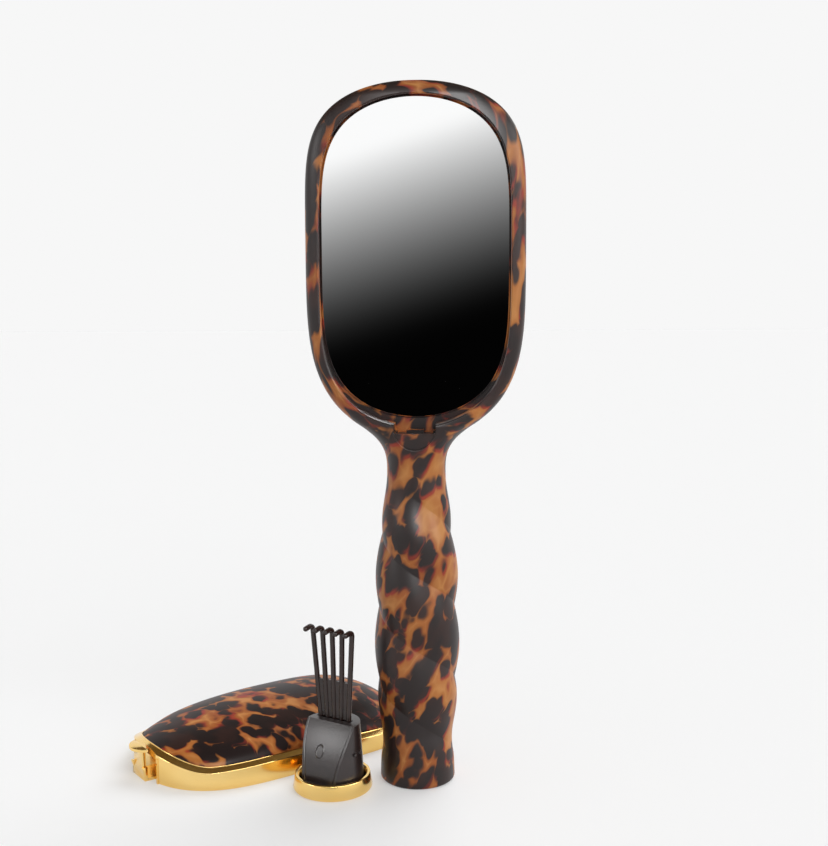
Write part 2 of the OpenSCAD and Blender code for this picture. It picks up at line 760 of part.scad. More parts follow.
function dome_crest(z) =
    let (s = z - open_low_z + cover_s, low_s = cover_s + shell_in, top_s = seat_far + cover_s - shell_in)
    s < dome_peak_s
        ? dome_h - (dome_h - edge_neck_h) * pow((dome_peak_s - s) / (dome_peak_s - low_s), dome_low_power)
        : dome_h - (dome_h - edge_far_h) * pow((s - dome_peak_s) / (top_s - dome_peak_s), dome_top_power);
function dome_height(x, z, inset, drop) =
    let (w = open_half(z, inset))
    let (base = rim_h(z, inset), rise = max(0, dome_crest(z) - base))
    w < 0.01 ? base - drop : base - drop + rise * sqrt(max(0, 1 - pow(x / w, 2)));

module cover_shell() {
    outer_rings = 9;
    inner_rings = 6;
    count = 4 * oval_steps;
    inner = shell_in + shell_t;
    ring = function (inset, share, drop) [
        for (p = oval(inset))
            let (x = p[0] * share, z = middle_z + (p[1] - middle_z) * share)
            [x, seat_y - (share == 1 ? rim_h(z, inset) : dome_height(x, z, inset, drop)), z]
    ];
    foot_ring = function (inset) [
        for (p = oval(inset)) [p[0], seat_y - rim_h(p[1], inset) + shelf_set - seam, p[1]]
    ];
    points = concat(
        [[0, seat_y - dome_height(0, middle_z, inner, shell_t), middle_z]],
        [for (k = [inner_rings - 1:-1:1]) each ring(inner, 1 - pow(k / inner_rings, 2), shell_t)],
        foot_ring(inner),
        foot_ring(shell_in),
        [for (k = [0:outer_rings - 1]) each ring(shell_in, 1 - pow(k / outer_rings, 2), 0)],
        [[0, seat_y - dome_height(0, middle_z, shell_in, 0), middle_z]]
    );
    rings = inner_rings + 1 + outer_rings;
    color("saddlebrown")
        laid_cover()
            polyhedron(points, concat(
                fan(0, 1, count),
                skin(rings, count, 1),
                fan(len(points) - 1, 1 + (rings - 1) * count, count, true)
            ));
}

// The cleaning tool stands on its cap, hooks to the front
module standing_tool() {
    translate([tool_at[0], tool_at[1], 0])
        rotate([0, 0, tool_turn])
            children();
}

module end_cap() {
    edge = 1.2;
    bevel = 0.3;
    inner_bevel = [1.3, 2.2]; // width and height of the bevel down to the plug
    color("gold")
        standing_tool()
            rotate_extrude()
                polygon(concat(
                    [[0, 0]],
                    [for (a = [0:15:90]) [cap_foot_r - edge + edge * sin(a), edge - edge * cos(a)]],
                    [
                        [end_r, cap_h - bevel],
                        [end_r - bevel, cap_h],
                        [plug_r + inner_bevel[0], cap_h],
                        [plug_r + seam / 2, cap_h - inner_bevel[1]],
                        [plug_r + seam / 2, cap_floor],
                        [0, cap_floor]
                    ]
                ));
}

module tool_plug() {
    // The ramp is part of a large cylinder that lies along the row of tines
    ramp_top = [-0.8, plug_top_z];
    ramp_foot = [2.6 - plug_r, cap_h - 0.6];
    ramp_bulge = 1.2;
    cone_z = cap_h + 0.4; // the plug narrows from here up
    clear = 20; // farther out than the plug reaches
    chord = norm(ramp_top - ramp_foot);
    ramp_r = (chord * chord / 4 + ramp_bulge * ramp_bulge) / (2 * ramp_bulge);
    along = (ramp_top - ramp_foot) / chord;
    centre = (ramp_top + ramp_foot) / 2 + [along[1], -along[0]] * (ramp_r - ramp_bulge);
    color("dimgray")
        standing_tool()
            difference() {
                union() {
                    translate([0, 0, cap_floor])
                        cylinder(h = cone_z - cap_floor, r = plug_r);
                    translate([0, 0, cone_z])
                        cylinder(h = plug_top_z - cone_z, r1 = plug_r, r2 = plug_top_r);
                    for (side = [-1, 1])
                        rotate([0, 0, side * lug_turn])
                            translate([plug_top_r - cut, -lug_w / 2, lug_z - lug_h / 2])
                                cube([plug_r + lug_out - plug_top_r + cut, lug_w, lug_h]);
                }
                // Everything before the ramp goes
                difference() {
                    translate([-clear, -clear, cap_floor + 2])
                        cube([2 * clear, clear + ramp_top[0], 2 * clear]);
                    rotate([0, 90, 0])
                        translate([-centre[1], centre[0], -clear - cut])
                            cylinder(h = 2 * (clear + cut), r = ramp_r, $fn = 128);
                }
                rake_root(seam / 2, cut);
            }
}

// The root of the rake, or with a margin the slot for it
module rake_root(margin, above) {
    half = (tines - 1) * tine_pitch / 2 + tine_t / 2 + 2 * root_over + margin;
    depth = 7;
    translate([-half, tine_back - tine_t / 2 - root_over - margin, plug_top_z - depth])
        cube([2 * half, tine_t + 2 * root_over + 2 * margin, depth + above]);
}

// A round bar along points, one ring of eight at each, square to the way there
module bar(points, ways, radii) {
    sides = 8;
    rings = [
        for (i = [0:len(points) - 1])
            let (w = ways[i] / norm(ways[i]), u = [1, 0, 0] - w * w[0], v = cross(w, u))
            for (k = [0:sides - 1])
                let (a = (k + 0.5) * 360 / sides)
                points[i] + radii[i] * (cos(a) * u / norm(u) + sin(a) * v / norm(v))
    ];
    ends = [points[0] - ways[0] * 0.001, points[len(points) - 1] + ways[len(points) - 1] * 0.25];
    all = concat(rings, ends);
    n = len(rings);
    polyhedron(all, concat(
        fan(n, 0, sides),
        skin(len(points), sides),
        fan(n + 1, n - sides, sides, true)
    ));
}

module tine(index) {
    place = index - (tines - 1) / 2;
    foot_x = place * tine_pitch;
    top_x = place * tine_top_pitch;
    foot_z = plug_top_z - root_in;
    r = tine_t / 2;
    rise = rake_top_z - r - tine_bend_r - foot_z;
    lean = (top_x - foot_x) / (rake_top_z - plug_top_z);
    low_x = foot_x - lean * root_in;
    corner = [low_x + lean * rise, 0, foot_z + rise];
    turn = 90 + hook_droop;
    bend = [for (a = [0:turn / 4:turn])
        corner + [lean * tine_bend_r * sin(a), -tine_bend_r * (1 - cos(a)), tine_bend_r * sin(a)]];
    bend_ways = [for (a = [0:turn / 4:turn]) [lean * cos(a), -sin(a), cos(a)]];
    straight = hook_len - tine_bend_r - r;
    tip = bend[4] + straight * [0, -cos(hook_droop), -sin(hook_droop)];
    translate([0, tine_back, 0])
        bar(
            concat([[low_x, 0, foot_z]], bend, [tip - bend_ways[4] * 0.3, tip]),
            concat([[lean, 0, 1]], bend_ways, [bend_ways[4], bend_ways[4]]),
            concat([r], [for (b = bend) r], [r, r * 0.7])
        );
}

module cleaning_rake() {
    web_share = web_h / (rake_top_z - plug_top_z);
    web_half = (tines - 1) / 2 * tine_pitch;
    web_top_half = (tines - 1) / 2 * (tine_pitch + (tine_top_pitch - tine_pitch) * web_share);
    color("black")
        standing_tool()
            union() {
                rake_root(0, 0);
                for (index = [0:tines - 1])
                    tine(index);
                translate([0, tine_back + web_t / 2, 0])
                    rotate([90, 0, 0])
                        linear_extrude(web_t)
                            polygon([
                                [-web_half, plug_top_z - 1],
                                [web_half, plug_top_z - 1],
                                [web_top_half, plug_top_z + web_h],
                                [-web_top_half, plug_top_z + web_h]
                            ]);
            }
}

handle_frame();
mirror_glass();
mirror_tape();
carrier_plate();
bristle_cushion();
pin_bed();
cushion_ring();
cover_shell();
cover_rim();
release_latch();
end_cap();
tool_plug();
cleaning_rake();
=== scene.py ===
# %% [markdown]
# # A detangling brush with a mirror back, its cover and its cleaning tool
# This lesson dresses a finished construction model in Blender. The construction gives the place and
# the size of every piece, and the joints. Here each piece gets its final surface: a denser mesh from the
# same curves as the construction, rounded edges, and a procedural finish.
# The brush stands on the end of its handle with the mirror to the front. Its cover lies beside it with the
# gold rim down, and the cleaning tool, which is stored inside the handle, stands on its gold cap.

import math

import bmesh
import bpy
import numpy as np
from mathutils import Matrix, Vector


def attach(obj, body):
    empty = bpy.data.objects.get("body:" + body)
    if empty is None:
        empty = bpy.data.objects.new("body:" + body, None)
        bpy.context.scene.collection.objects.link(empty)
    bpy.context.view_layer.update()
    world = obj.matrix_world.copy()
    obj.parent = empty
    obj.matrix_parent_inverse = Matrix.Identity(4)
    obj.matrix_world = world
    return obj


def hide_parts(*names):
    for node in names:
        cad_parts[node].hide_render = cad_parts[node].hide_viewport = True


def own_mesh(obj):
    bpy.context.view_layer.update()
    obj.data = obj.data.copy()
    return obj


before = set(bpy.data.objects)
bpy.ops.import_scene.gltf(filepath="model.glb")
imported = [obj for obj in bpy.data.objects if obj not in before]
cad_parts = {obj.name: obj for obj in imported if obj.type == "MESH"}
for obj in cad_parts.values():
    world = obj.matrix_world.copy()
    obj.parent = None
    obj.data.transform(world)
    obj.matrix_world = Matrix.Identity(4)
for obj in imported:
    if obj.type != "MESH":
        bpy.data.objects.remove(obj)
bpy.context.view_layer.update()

# %% [markdown]
# ## Measures
# All measures are in millimetres, as on a drawing, and are turned into metres where a mesh is made.
# They repeat the driving dimensions of the construction, so a denser surface falls on the same form. A
# few, such as the ledge of the rim and the height of the plug, are set a little closer to the real ones.

# %% Measures of the head and the handle
MM = 0.001
TOTAL_H, HEAD_MID_Z, HEAD_HALF_W = 246.2, 190.5, 38.2
HEAD_TOP_LEN, HEAD_LOW_LEN = TOTAL_H - HEAD_MID_Z, 67.3
HEAD_TOP_POWER, HEAD_LOW_POWER, HEAD_POWER = 4.95, 4.05, 3.4
HEAD_BACK, HEAD_SHIFT, FRAME_W, TIP_ROUND = 11.0, 2.0, 5.2, 9.0
SHOULDER_Z, SHOULDER_OVER, SHOULDER_BLEND, FLARE_POWER = 128.4, 0.6, 5, 2.8
END_R, END_ROUND = 13.35, 1.3
NECK_Z, NECK_R = 112.0, 10.3
HANDLE_STATIONS = [  # height, radius and slope of the handle's core
    (0.0, END_R, 0.0), (17.0, 12.9, 0.0), (36.0, 15.1, 0.0), (88.0, 13.7, -0.1), (NECK_Z, NECK_R, 0.0),
]
TWIST_LEAD, TWIST_DEPTH, TWIST_LEAN, TWIST_PHASE = 52.6, 0.113, 0.48, 0.574
FADE_Z, FADE_LEN, NECK_FADE_LEN = 6, 14, 18  # the ribs run out at both ends
SHIFT_LEN, SQUARE_LEN, BACK_LEN = 30, 34, 26  # ways over which the neck turns into the head

# %% Measures of the mirror side and the brush side
SEAT_Y, RIM_PROUD = -1.1, 2.1
EDGE_MID_H, EDGE_FAR_H, EDGE_RISE, EDGE_DIP = 7.35, 4.25, 7.6, 0.85
RISE_LEN, RISE_POWER = 14.0, 1.7
OPEN_HALF_W = HEAD_HALF_W - FRAME_W
OPEN_TOP_LEN, OPEN_LOW_LEN = HEAD_TOP_LEN - FRAME_W, HEAD_LOW_LEN - FRAME_W
OPEN_TOP_POWER, OPEN_LOW_POWER = 4.2, 4.55
OPEN_LOW_Z, OPEN_TOP_Z = HEAD_MID_Z - OPEN_LOW_LEN, HEAD_MID_Z + OPEN_TOP_LEN
MIDDLE_Z = HEAD_MID_Z - 6.0
SEAT_FAR = OPEN_TOP_Z - OPEN_LOW_Z
EDGE_PEAK = 0.36 * SEAT_FAR
FLANGE_Y, FOOT_LEDGE = SEAT_Y + 3.0, 2.0
GLASS_GAP, GLASS_T, BEVEL_W, BEVEL_D = 0.15, 1.8, 0.55, 0.5
SEAM, POCKET_IN = 0.1, 1.2
CARRIER_T, RUBBER_T = 2.0, 1.2
CUSHION_Y = FLANGE_Y + CARRIER_T
RING_Y = CUSHION_Y + RUBBER_T
RING_W, RING_T, RING_ROUND = 2.6, 3.9, 0.5
CROWN_H = 8.7
DOME_IN = POCKET_IN + SEAM + RING_W
BED_IN, PIN_IN = 2.4, 1.2
PIN_LEN, PIN_PITCH, PIN_SPLAY = 15.0, 4.05, 0.3
PIN_SIDES, PIN_COLLAR_R, PIN_FOOT_R, PIN_TIP_R, PIN_BALL_R = 10, 1.1, 0.72, 0.5, 0.72

# %% Measures of the cover, the latch and the cleaning tool
COVER_S, COVER_RISE = 1.44, 6.1
COVER_GAP, RIM_T, RIM_LEDGE, LIP_W = 0.25, 1.3, 2.6, 0.35
RIM_BEVEL, LEDGE_RISE, LIP_H, LIP_ROUND = 0.35, 0.75, 1.0, 0.12
SHELL_T, DOME_H, DOME_PEAK_S = 1.8, 19.5, 62.0
DOME_LOW_POWER, DOME_TOP_POWER = 2.0, 3.8
SHELL_IN = COVER_GAP + RIM_LEDGE + LIP_W + SEAM / 2
SHELF_SET, SHELF_T = 0.8, 1.0
LATCH_T, LATCH_LOW_W, LATCH_TOP_W, LATCH_GAP = 1.3, 10.8, 7.5, 2.7
LATCH_SIDE, WALL_T, STRAP_T = 9.2, 1.1, 1.0
SHOULDER_H, BARB_OUT, BARB_H, BARB_ROOT = 5.0, 0.55, 2.2, 0.3
TAB_W, TAB_OUT, TAB_T = 12.0, 2.9, 1.1
NOTCH_W, NOTCH_D, THUMB_LEN, THUMB_D = 14.3, 2.6, 5.5, 1.7
LATCH_PLAY, NOTCH_FLOOR = 0.35, 0.2
TONGUE_W, TONGUE_H, TONGUE_PLAY, TONGUE_OUT = 16.0, (0.2, 1.0), 0.2, 1.2
CAP_H, CAP_FOOT_R, CAP_FLOOR, CAP_ROUND, CAP_BEVEL = 5.6, 14.05, 2.2, 1.2, 0.35
PLUG_R, PLUG_TOP_R, PLUG_TOP_Z = 11.0, 9.9, 23.9
RAMP_TOP_Y, RAMP_FOOT_Y, RAMP_BULGE = -0.8, -8.4, 1.2
LUG_Z, LUG_OUT, LUG_W, LUG_H, LUG_TURN = 14.2, 0.35, 1.2, 0.9, 8
BORE_R, BORE_LEN = 11.1, 55.6
TINES, TINE_PITCH, TINE_TOP_PITCH, TINE_T, TINE_BACK = 5, 3.0, 4.3, 1.75, 3.0
RAKE_TOP_Z, HOOK_LEN, TINE_BEND_R, WEB_H = 57.2, 5.5, 1.6, 14.5
RAKE_ASIDE, RAKE_LEAN, TINE_ROOT, HOOK_TILT = -1.0, -0.02, 3.0, 8

# %% Places of the two loose pieces
TOOL_CLEAR, TOOL_SIDE, TOOL_TURN = 4.12, math.radians(199.92), math.radians(-28.5)
COVER_CLEAR, COVER_PAST, COVER_TURN = 2.54, 51.84, math.radians(-50.41)
TOOL_AT = (END_R + CAP_FOOT_R + TOOL_CLEAR) * np.array([math.cos(TOOL_SIDE), math.sin(TOOL_SIDE)])
cover_across = np.array([math.cos(COVER_TURN), math.sin(COVER_TURN)])
cover_along = np.array([-math.sin(COVER_TURN), math.cos(COVER_TURN)])
tool_past = OPEN_HALF_W - COVER_GAP + COVER_CLEAR + CAP_FOOT_R
COVER_AT = TOOL_AT - COVER_PAST * cover_along - tool_past * cover_across
print("tool at", TOOL_AT.round(2), "cover at", COVER_AT.round(2))

# %% [markdown]
# ## The camera
# The picture was taken from slightly above and to the right of the brush, with a long lens. A camera that
# looks down by six degrees makes the ellipses of the round cap and of the handle's end as open as they are.
# The lens is set on the picture's width, so that the frame stays right at any render size.

# %% Camera
PICTURE_W, FOCAL_PX, SENSOR_MM = 828, 1146.37, 36.0
CAMERA_AT = Vector((20.93, -399.45, 171.66))
YAW, PITCH, ROLL = math.radians(3.106), math.radians(6.152), math.radians(-0.289)

camera_data = bpy.data.cameras.new("camera")
camera_data.sensor_fit = "HORIZONTAL"
camera_data.sensor_width = SENSOR_MM
camera_data.lens = FOCAL_PX * SENSOR_MM / PICTURE_W
camera_data.clip_start = 0.01
camera = bpy.data.objects.new("camera", camera_data)
tilt = Matrix.Rotation(math.pi / 2 - PITCH, 4, "X") @ Matrix.Rotation(ROLL, 4, "Z")
camera.matrix_world = Matrix.Translation(CAMERA_AT * MM) @ Matrix.Rotation(YAW, 4, "Z") @ tilt
bpy.context.scene.collection.objects.link(camera)
bpy.context.scene.camera = camera
print(f"lens {camera_data.lens:.2f} mm on a {SENSOR_MM:.0f} mm wide sensor")

# %% [markdown]
# ## Building meshes
# Nearly every piece is a stack of rings: the handle along its length, the rim along its profile, the cap
# round its axis. A helper turns a stack of rings with equal counts into quads, and another carves one
# closed mesh with others. Edges that are sharper than an angle stay crisp and the rest is smooth.

# %% Meshes from rings
def add_piece(name, points, faces, crisp=35):
    mesh = bpy.data.meshes.new(name)
    mesh.from_pydata([tuple(p) for p in np.asarray(points, float) * MM], [], faces)
    tidy = bmesh.new()
    tidy.from_mesh(mesh)
    bmesh.ops.recalc_face_normals(tidy, faces=tidy.faces)
    tidy.to_mesh(mesh)
    tidy.free()
    smooth(mesh, crisp)
    piece = bpy.data.objects.new(name, mesh)
    bpy.context.scene.collection.objects.link(piece)
    return piece


def smooth(mesh, crisp):
    mesh.polygons.foreach_set("use_smooth", [True] * len(mesh.polygons))
    mesh.set_sharp_from_angle(angle=math.radians(crisp))
    mesh.update()


def ring_faces(rings, count, first=0, closed=False):
    faces = []
    for r in range(rings if closed else rings - 1):
        a, b = first + r * count, first + (r + 1) % rings * count
        faces += [(a + i, a + (i + 1) % count, b + (i + 1) % count, b + i) for i in range(count)]
    return faces


def loft(name, rings, tips=(None, None), closed=False, crisp=35):
    """A skin over rings of equal counts. A tip closes an end to one point, and closed joins the ends."""
    rings = np.asarray(rings, float)
    stack, count = len(rings), len(rings[0])
    points = rings.reshape(-1, 3)
    faces = ring_faces(stack, count, closed=closed)
    for start, tip in zip((0, (stack - 1) * count), () if closed else tips):
        if tip is None:
            faces.append(tuple(start + i for i in range(count)))
        else:
            points = np.vstack([points, [tip]])
            faces += [(start + i, start + (i + 1) % count, len(points) - 1) for i in range(count)]
    return add_piece(name, points, faces, crisp)


def spun(name, profile, count=128):
    """A profile of radius and height, turned round the upright axis."""
    circle = np.array(arc((0, 0), 1, 0, 360, count + 1)[:-1])
    return loft(name, [np.insert(radius * circle, 2, z, axis=1) for radius, z in profile])


def prism(name, outline, axis, low, high):
    """A flat outline pushed along one axis: 0 across, 1 along or 2 up."""
    return loft(name, [np.insert(np.asarray(outline, float), axis, level, axis=1) for level in (low, high)])


def block(name, x, y, z):
    """A box between two values on each axis."""
    return prism(name, [(x[0], y[0]), (x[1], y[0]), (x[1], y[1]), (x[0], y[1])], 2, *z)


def arc(centre, radius, first, last, count):
    """Points on a circle between two angles in degrees."""
    a = np.radians(np.linspace(first, last, count))
    return [(centre[0] + radius * c, centre[1] + radius * s) for c, s in zip(np.cos(a), np.sin(a))]


# %% Carving and softening
def apply_modifiers(piece, crisp=35):
    bpy.context.view_layer.update()
    shaped = piece.evaluated_get(bpy.context.evaluated_depsgraph_get())
    mesh = bpy.data.meshes.new_from_object(shaped)
    piece.modifiers.clear()
    piece.data = mesh
    smooth(mesh, crisp)
    return piece


def carve(piece, cutters, operation="DIFFERENCE", crisp=35):
    for cutter in cutters:
        step = piece.modifiers.new(cutter.name, "BOOLEAN")
        step.solver = "MANIFOLD"
        step.operation = operation
        step.object = cutter
    apply_modifiers(piece, crisp)
    for cutter in cutters:
        bpy.data.objects.remove(cutter)
    return piece


def soften_edges(piece, width, segments=2, angle=35):
    step = piece.modifiers.new("soft edges", "BEVEL")
    step.width = width * MM
    step.segments = segments
    step.limit_method = "ANGLE"
    step.angle_limit = math.radians(angle)
    step.harden_normals = False
    return apply_modifiers(piece)


# %% Handing a piece over
LAID = {"cover": (COVER_AT, COVER_TURN), "latch": (COVER_AT, COVER_TURN), "tool": (TOOL_AT, TOOL_TURN)}


def dress(piece, body, material, node):
    """A finished piece is laid in its place, rides its body, stands for its node and gets its finish."""
    if body in LAID:
        at, turn = LAID[body]
        piece.data.transform(Matrix.Translation(Vector((*(at * MM), 0))) @ Matrix.Rotation(turn, 4, "Z"))
    piece.data.materials.clear()
    piece.data.materials.append(material)
    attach(piece, body)
    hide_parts(node)
    print(f"{piece.name}: {len(piece.data.polygons)} faces, rides {body}")


def repaint(node, material):
    """A node of the construction whose form is right keeps its mesh and gets a better finish."""
    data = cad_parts[node].data
    data.materials.clear()
    data.materials.append(material)


# %% [markdown]
# ## Finishes
# A finish is a tree of nodes. Long chains of small sums are hard to read as nodes, so a value on its way
# through a tree is wrapped here, and plain formulas with it add the nodes.

# %% Nodes as formulas
class Flow:
    """A value on its way through a node tree. A sum with it adds a node and gives the node's output."""

    def __init__(self, tree, socket):
        self.tree = tree
        self.socket = socket

    def math(self, operation, *others):
        return flow(self.tree, "Math", self, *others, operation=operation)

    def __add__(self, other):
        return self.math("ADD", other)

    def __sub__(self, other):
        return self.math("SUBTRACT", other)

    def __mul__(self, other):
        return self.math("MULTIPLY", other)

    def __truediv__(self, other):
        return self.math("DIVIDE", other)

    def __pow__(self, other):
        return self.math("POWER", other)

    def __abs__(self):
        return self.math("ABSOLUTE")


def feed(socket, value):
    """Links a flowing value to a socket, or sets a constant there."""
    if isinstance(value, Flow):
        value.tree.links.new(value.socket, socket)
    elif value is not None:
        socket.default_value = (*value[:3], 1.0) if socket.type == "RGBA" else value


def add_node(tree, kind, *inputs, **values):
    """Inputs go by place or by name. A name that is no input is a setting of the node."""
    node = tree.nodes.new("ShaderNode" + kind)
    for key in [key for key in values if key not in node.inputs]:
        setattr(node, key, values.pop(key))
    for key, value in [*enumerate(inputs), *values.items()]:
        feed(node.inputs[key], value)
    return node


def flow(tree, kind, *inputs, out=0, **values):
    """Adds a node and gives one of its outputs."""
    return Flow(tree, add_node(tree, kind, *inputs, **values).outputs[out])


def start_finish(name, **constants):
    """A new material, its tree and its shader, with constants on the shader's own sockets."""
    material = bpy.data.materials.new(name)
    material.use_nodes = True
    shader = material.node_tree.nodes["Principled BSDF"]
    for key, value in constants.items():
        shader.inputs[key.replace("_", " ")].default_value = value
    print("finish:", name)
    return material, material.node_tree, shader


# %% Helpers for patterns
def place_coordinates(tree, turn=(0, 0, 0), scale=(1, 1, 1), shift=(0, 0, 0), kind="POINT"):
    """The place on the object. The kind TEXTURE turns, stretches and moves the pattern itself."""
    here = flow(tree, "TexCoord", out="Object")
    turn = [math.radians(a) for a in turn]
    return flow(tree, "Mapping", here, Rotation=turn, Scale=scale, Location=shift, vector_type=kind)


def parts_of(vector):
    """The x, y and z of a place."""
    split = add_node(vector.tree, "SeparateXYZ", vector)
    return [Flow(vector.tree, socket) for socket in split.outputs]


def noise(vector, per_metre, detail=2.0, roughness=0.5):
    values = {"Scale": per_metre, "Detail": detail, "Roughness": roughness}
    return flow(vector.tree, "TexNoise", vector, out="Fac", **values)


def over_edge(field, place, blur):
    """0 below a place in the field and 1 above it, with a soft step between."""
    limits = {"From Min": place - blur, "From Max": place + blur}
    return flow(field.tree, "MapRange", field, interpolation_type="SMOOTHSTEP", **limits)


def mix(share, low, high, kind="RGBA"):
    """low where the share is 0 and high where it is 1, as colours or as plain values."""
    low_at, out = {"RGBA": (6, 2), "FLOAT": (2, 0)}[kind]
    node = add_node(share.tree, "Mix", share, data_type=kind)
    feed(node.inputs[low_at], low)
    feed(node.inputs[low_at + 1], high)
    return Flow(share.tree, node.outputs[out])


def ramp(value, *stops):
    """An even blend between two stops, each a value and a colour."""
    node = add_node(value.tree, "ValToRGB", value)
    for element, (place, colour) in zip(node.color_ramp.elements, stops):
        element.position = place
        element.color = (*colour, 1.0)
    return Flow(value.tree, node.outputs["Color"])


def bump(shader, height, strength, distance, below=None):
    """Tilts the shading by a height. Another bump can lie below it."""
    values = {"Strength": strength, "Distance": distance * MM, "Height": height, "Normal": below}
    normal = flow(height.tree, "Bump", **values)
    feed(shader.inputs["Normal"], normal)
    return normal


def from_bytes(*colour):
    """A colour as picked on a screen, turned into the linear values that shaders use."""
    shares = [v / 255 for v in colour]
    return tuple(v / 12.92 if v <= 0.04045 else ((v + 0.055) / 1.055) ** 2.4 for v in shares)


# %% [markdown]
# ## Tortoiseshell
# The brush is moulded from tortoiseshell acetate: amber with dark brown blotches that end in thin red
# fringes. A picture could be wrapped round it, but a procedural pattern has no seams and keeps its scale on
# the head, the handle and the cover alike. The distance to scattered spots is low in round lobes, and a
# noise that bends the place makes them run together like drops in a melt. On the head the blotches run
# along the ring, so there the pattern's own coordinates run round it too.

# %% Tortoiseshell
# The paler amber is a painted glow of light shining through the acetate.
AMBER, GLOW_PAINTED_AMBER, DEEP_AMBER = from_bytes(190, 118, 56), from_bytes(204, 138, 74), from_bytes(166, 90, 40)
DARK, DARK_WARM, RED_FRINGE = from_bytes(40, 30, 29), from_bytes(54, 35, 31), from_bytes(164, 58, 38)
SPOTS_PER_METRE, SWELLS_PER_METRE, WARPS_PER_METRE, WARP = 205, 75, 200, 5.2
PATCHES_PER_METRE, CLOUDS_PER_METRE, SMOKE_PER_METRE = 70, 60, 110
PATCH_EDGE, CLOUD_EDGE, SMOKE_EDGE = (0.5, 0.06), (0.5, 0.16), (0.52, 0.1)
BLUR, THIN_BACK, THIN_BLUR, GLOW_OVER, GLOW_BLUR = 0.085, 0.01, 0.119, 0.22, 0.16
RED_SHIFT = (0.0007, 0.0003, -0.0006)
RING_DARKER, RING_STRETCH, RING_SLANT = 0.08, 2.0, 0.5
RING_HIGH, RING_ROUND_R, RING_POWER = 60, 50, 4.5
RING_MID, RING_BLUR = 140.0, 9.0


def ring_pattern(tree):
    """Coordinates along the ring, across it and in depth, and 0 on the handle and 1 on the head."""
    x, y, z = parts_of(place_coordinates(tree))
    wide = x / (HEAD_HALF_W * MM)
    high = (z - HEAD_MID_Z * MM) / (RING_HIGH * MM)
    along = wide.math("ARCTAN2", high) * (RING_ROUND_R * MM / RING_STRETCH)
    across = (abs(wide) ** 2.0 + abs(high) ** RING_POWER).math("SQRT") * (HEAD_HALF_W * MM)
    ring = flow(tree, "CombineXYZ", along + across * RING_SLANT, across, y)
    return ring, over_edge(z + abs(x), RING_MID * MM, RING_BLUR * MM)


def blotch_field(along, shift=(0, 0, 0)):
    """Distance from the nearest of many scattered spots: low in the dark lobes, high between them."""
    tree = along.tree
    here = flow(tree, "VectorMath", along, shift, operation="ADD")
    waves = flow(tree, "TexNoise", here, Scale=WARPS_PER_METRE, Detail=1.0, out="Color")
    bent = flow(tree, "VectorMath", waves, (WARP * MM,) * 3, here, operation="MULTIPLY_ADD")
    spots = flow(tree, "TexVoronoi", bent, Scale=SPOTS_PER_METRE, out="Distance")
    return spots + noise(here, SWELLS_PER_METRE, detail=1)


def tortoiseshell(name, turn, stretch, shift, edge, gloss, with_ring):
    """Amber with dark blotches. A second field, slightly moved, leaves one side of a blotch thin and red."""
    material, tree, shader = start_finish(name, Roughness=0.38, IOR=1.45, Specular_IOR_Level=gloss)
    along = place_coordinates(tree, turn, stretch, shift, "TEXTURE")
    fields = [blotch_field(along), blotch_field(along, RED_SHIFT)]
    if with_ring:
        ring, on_head = ring_pattern(tree)
        ring_fields = [blotch_field(ring), blotch_field(ring, RED_SHIFT)]
        fields = [mix(on_head, low, high - RING_DARKER, "FLOAT") for low, high in zip(fields, ring_fields)]
    dark_field, thin_field = fields
    amber = mix(over_edge(noise(along, CLOUDS_PER_METRE), *CLOUD_EDGE), DEEP_AMBER, AMBER)
    # Painted glow of light through the acetate: the amber is paler far from the dark lobes.
    amber = mix(over_edge(dark_field, edge + GLOW_OVER, GLOW_BLUR), amber, GLOW_PAINTED_AMBER)
    dark = mix(over_edge(noise(along, SMOKE_PER_METRE), *SMOKE_EDGE), DARK, DARK_WARM)
    patches = over_edge(noise(along, PATCHES_PER_METRE, detail=1), *PATCH_EDGE)
    dark = mix(over_edge(thin_field, edge - THIN_BACK, THIN_BLUR) * patches, dark, RED_FRINGE)
    feed(shader.inputs["Base Color"], mix(over_edge(dark_field, edge, BLUR), dark, amber))
    bump(shader, noise(place_coordinates(tree), per_metre=2600), strength=0.08, distance=0.05)
    return material


brush_shell = tortoiseshell(
    "tortoiseshell_brush", turn=(0, 27, 0), stretch=(1, 1, 1.8), shift=(0, 0, 0.03),
    edge=1.10, gloss=0.38, with_ring=True,
)
cover_shell = tortoiseshell(
    "tortoiseshell_cover", turn=(0, 15, -25), stretch=(1.45, 1.0, 1.2), shift=(0.4, 0.13, 0.7),
    edge=1.16, gloss=0.13, with_ring=False,
)

# %% [markdown]
# ## Metal, glass and plastics
# The gold plate is a metal with a colour and a roughness that wander a little. The plug has a grain like
# fine leather, and a second bump draws the round gate mark and the crease that the mould leaves.

# %% Gold and mirror glass
GOLD, DEEP_GOLD, GOLD_ROUGHNESS = from_bytes(250, 214, 138), from_bytes(246, 205, 122), 0.14
polished_gold, tree, shader = start_finish("polished_gold", Metallic=1.0)
where = place_coordinates(tree)
feed(shader.inputs["Base Color"], ramp(noise(where, per_metre=60), (0.3, DEEP_GOLD), (0.7, GOLD)))
smoother, rougher = (GOLD_ROUGHNESS * 0.85,) * 3, (GOLD_ROUGHNESS * 1.2,) * 3
smear = noise(where, per_metre=900, detail=3)
feed(shader.inputs["Roughness"], ramp(smear, (0.3, smoother), (0.7, rougher)))
bump(shader, noise(where, per_metre=1800, detail=1), strength=0.02, distance=0.02)

SILVER = (0.96, 0.965, 0.965, 1.0)
mirror_finish, tree, shader = start_finish(
    "mirror_glass_finish", Metallic=1.0, Base_Color=SILVER, Roughness=0.012
)
bump(shader, noise(place_coordinates(tree), per_metre=30, detail=1), strength=0.002, distance=0.01)

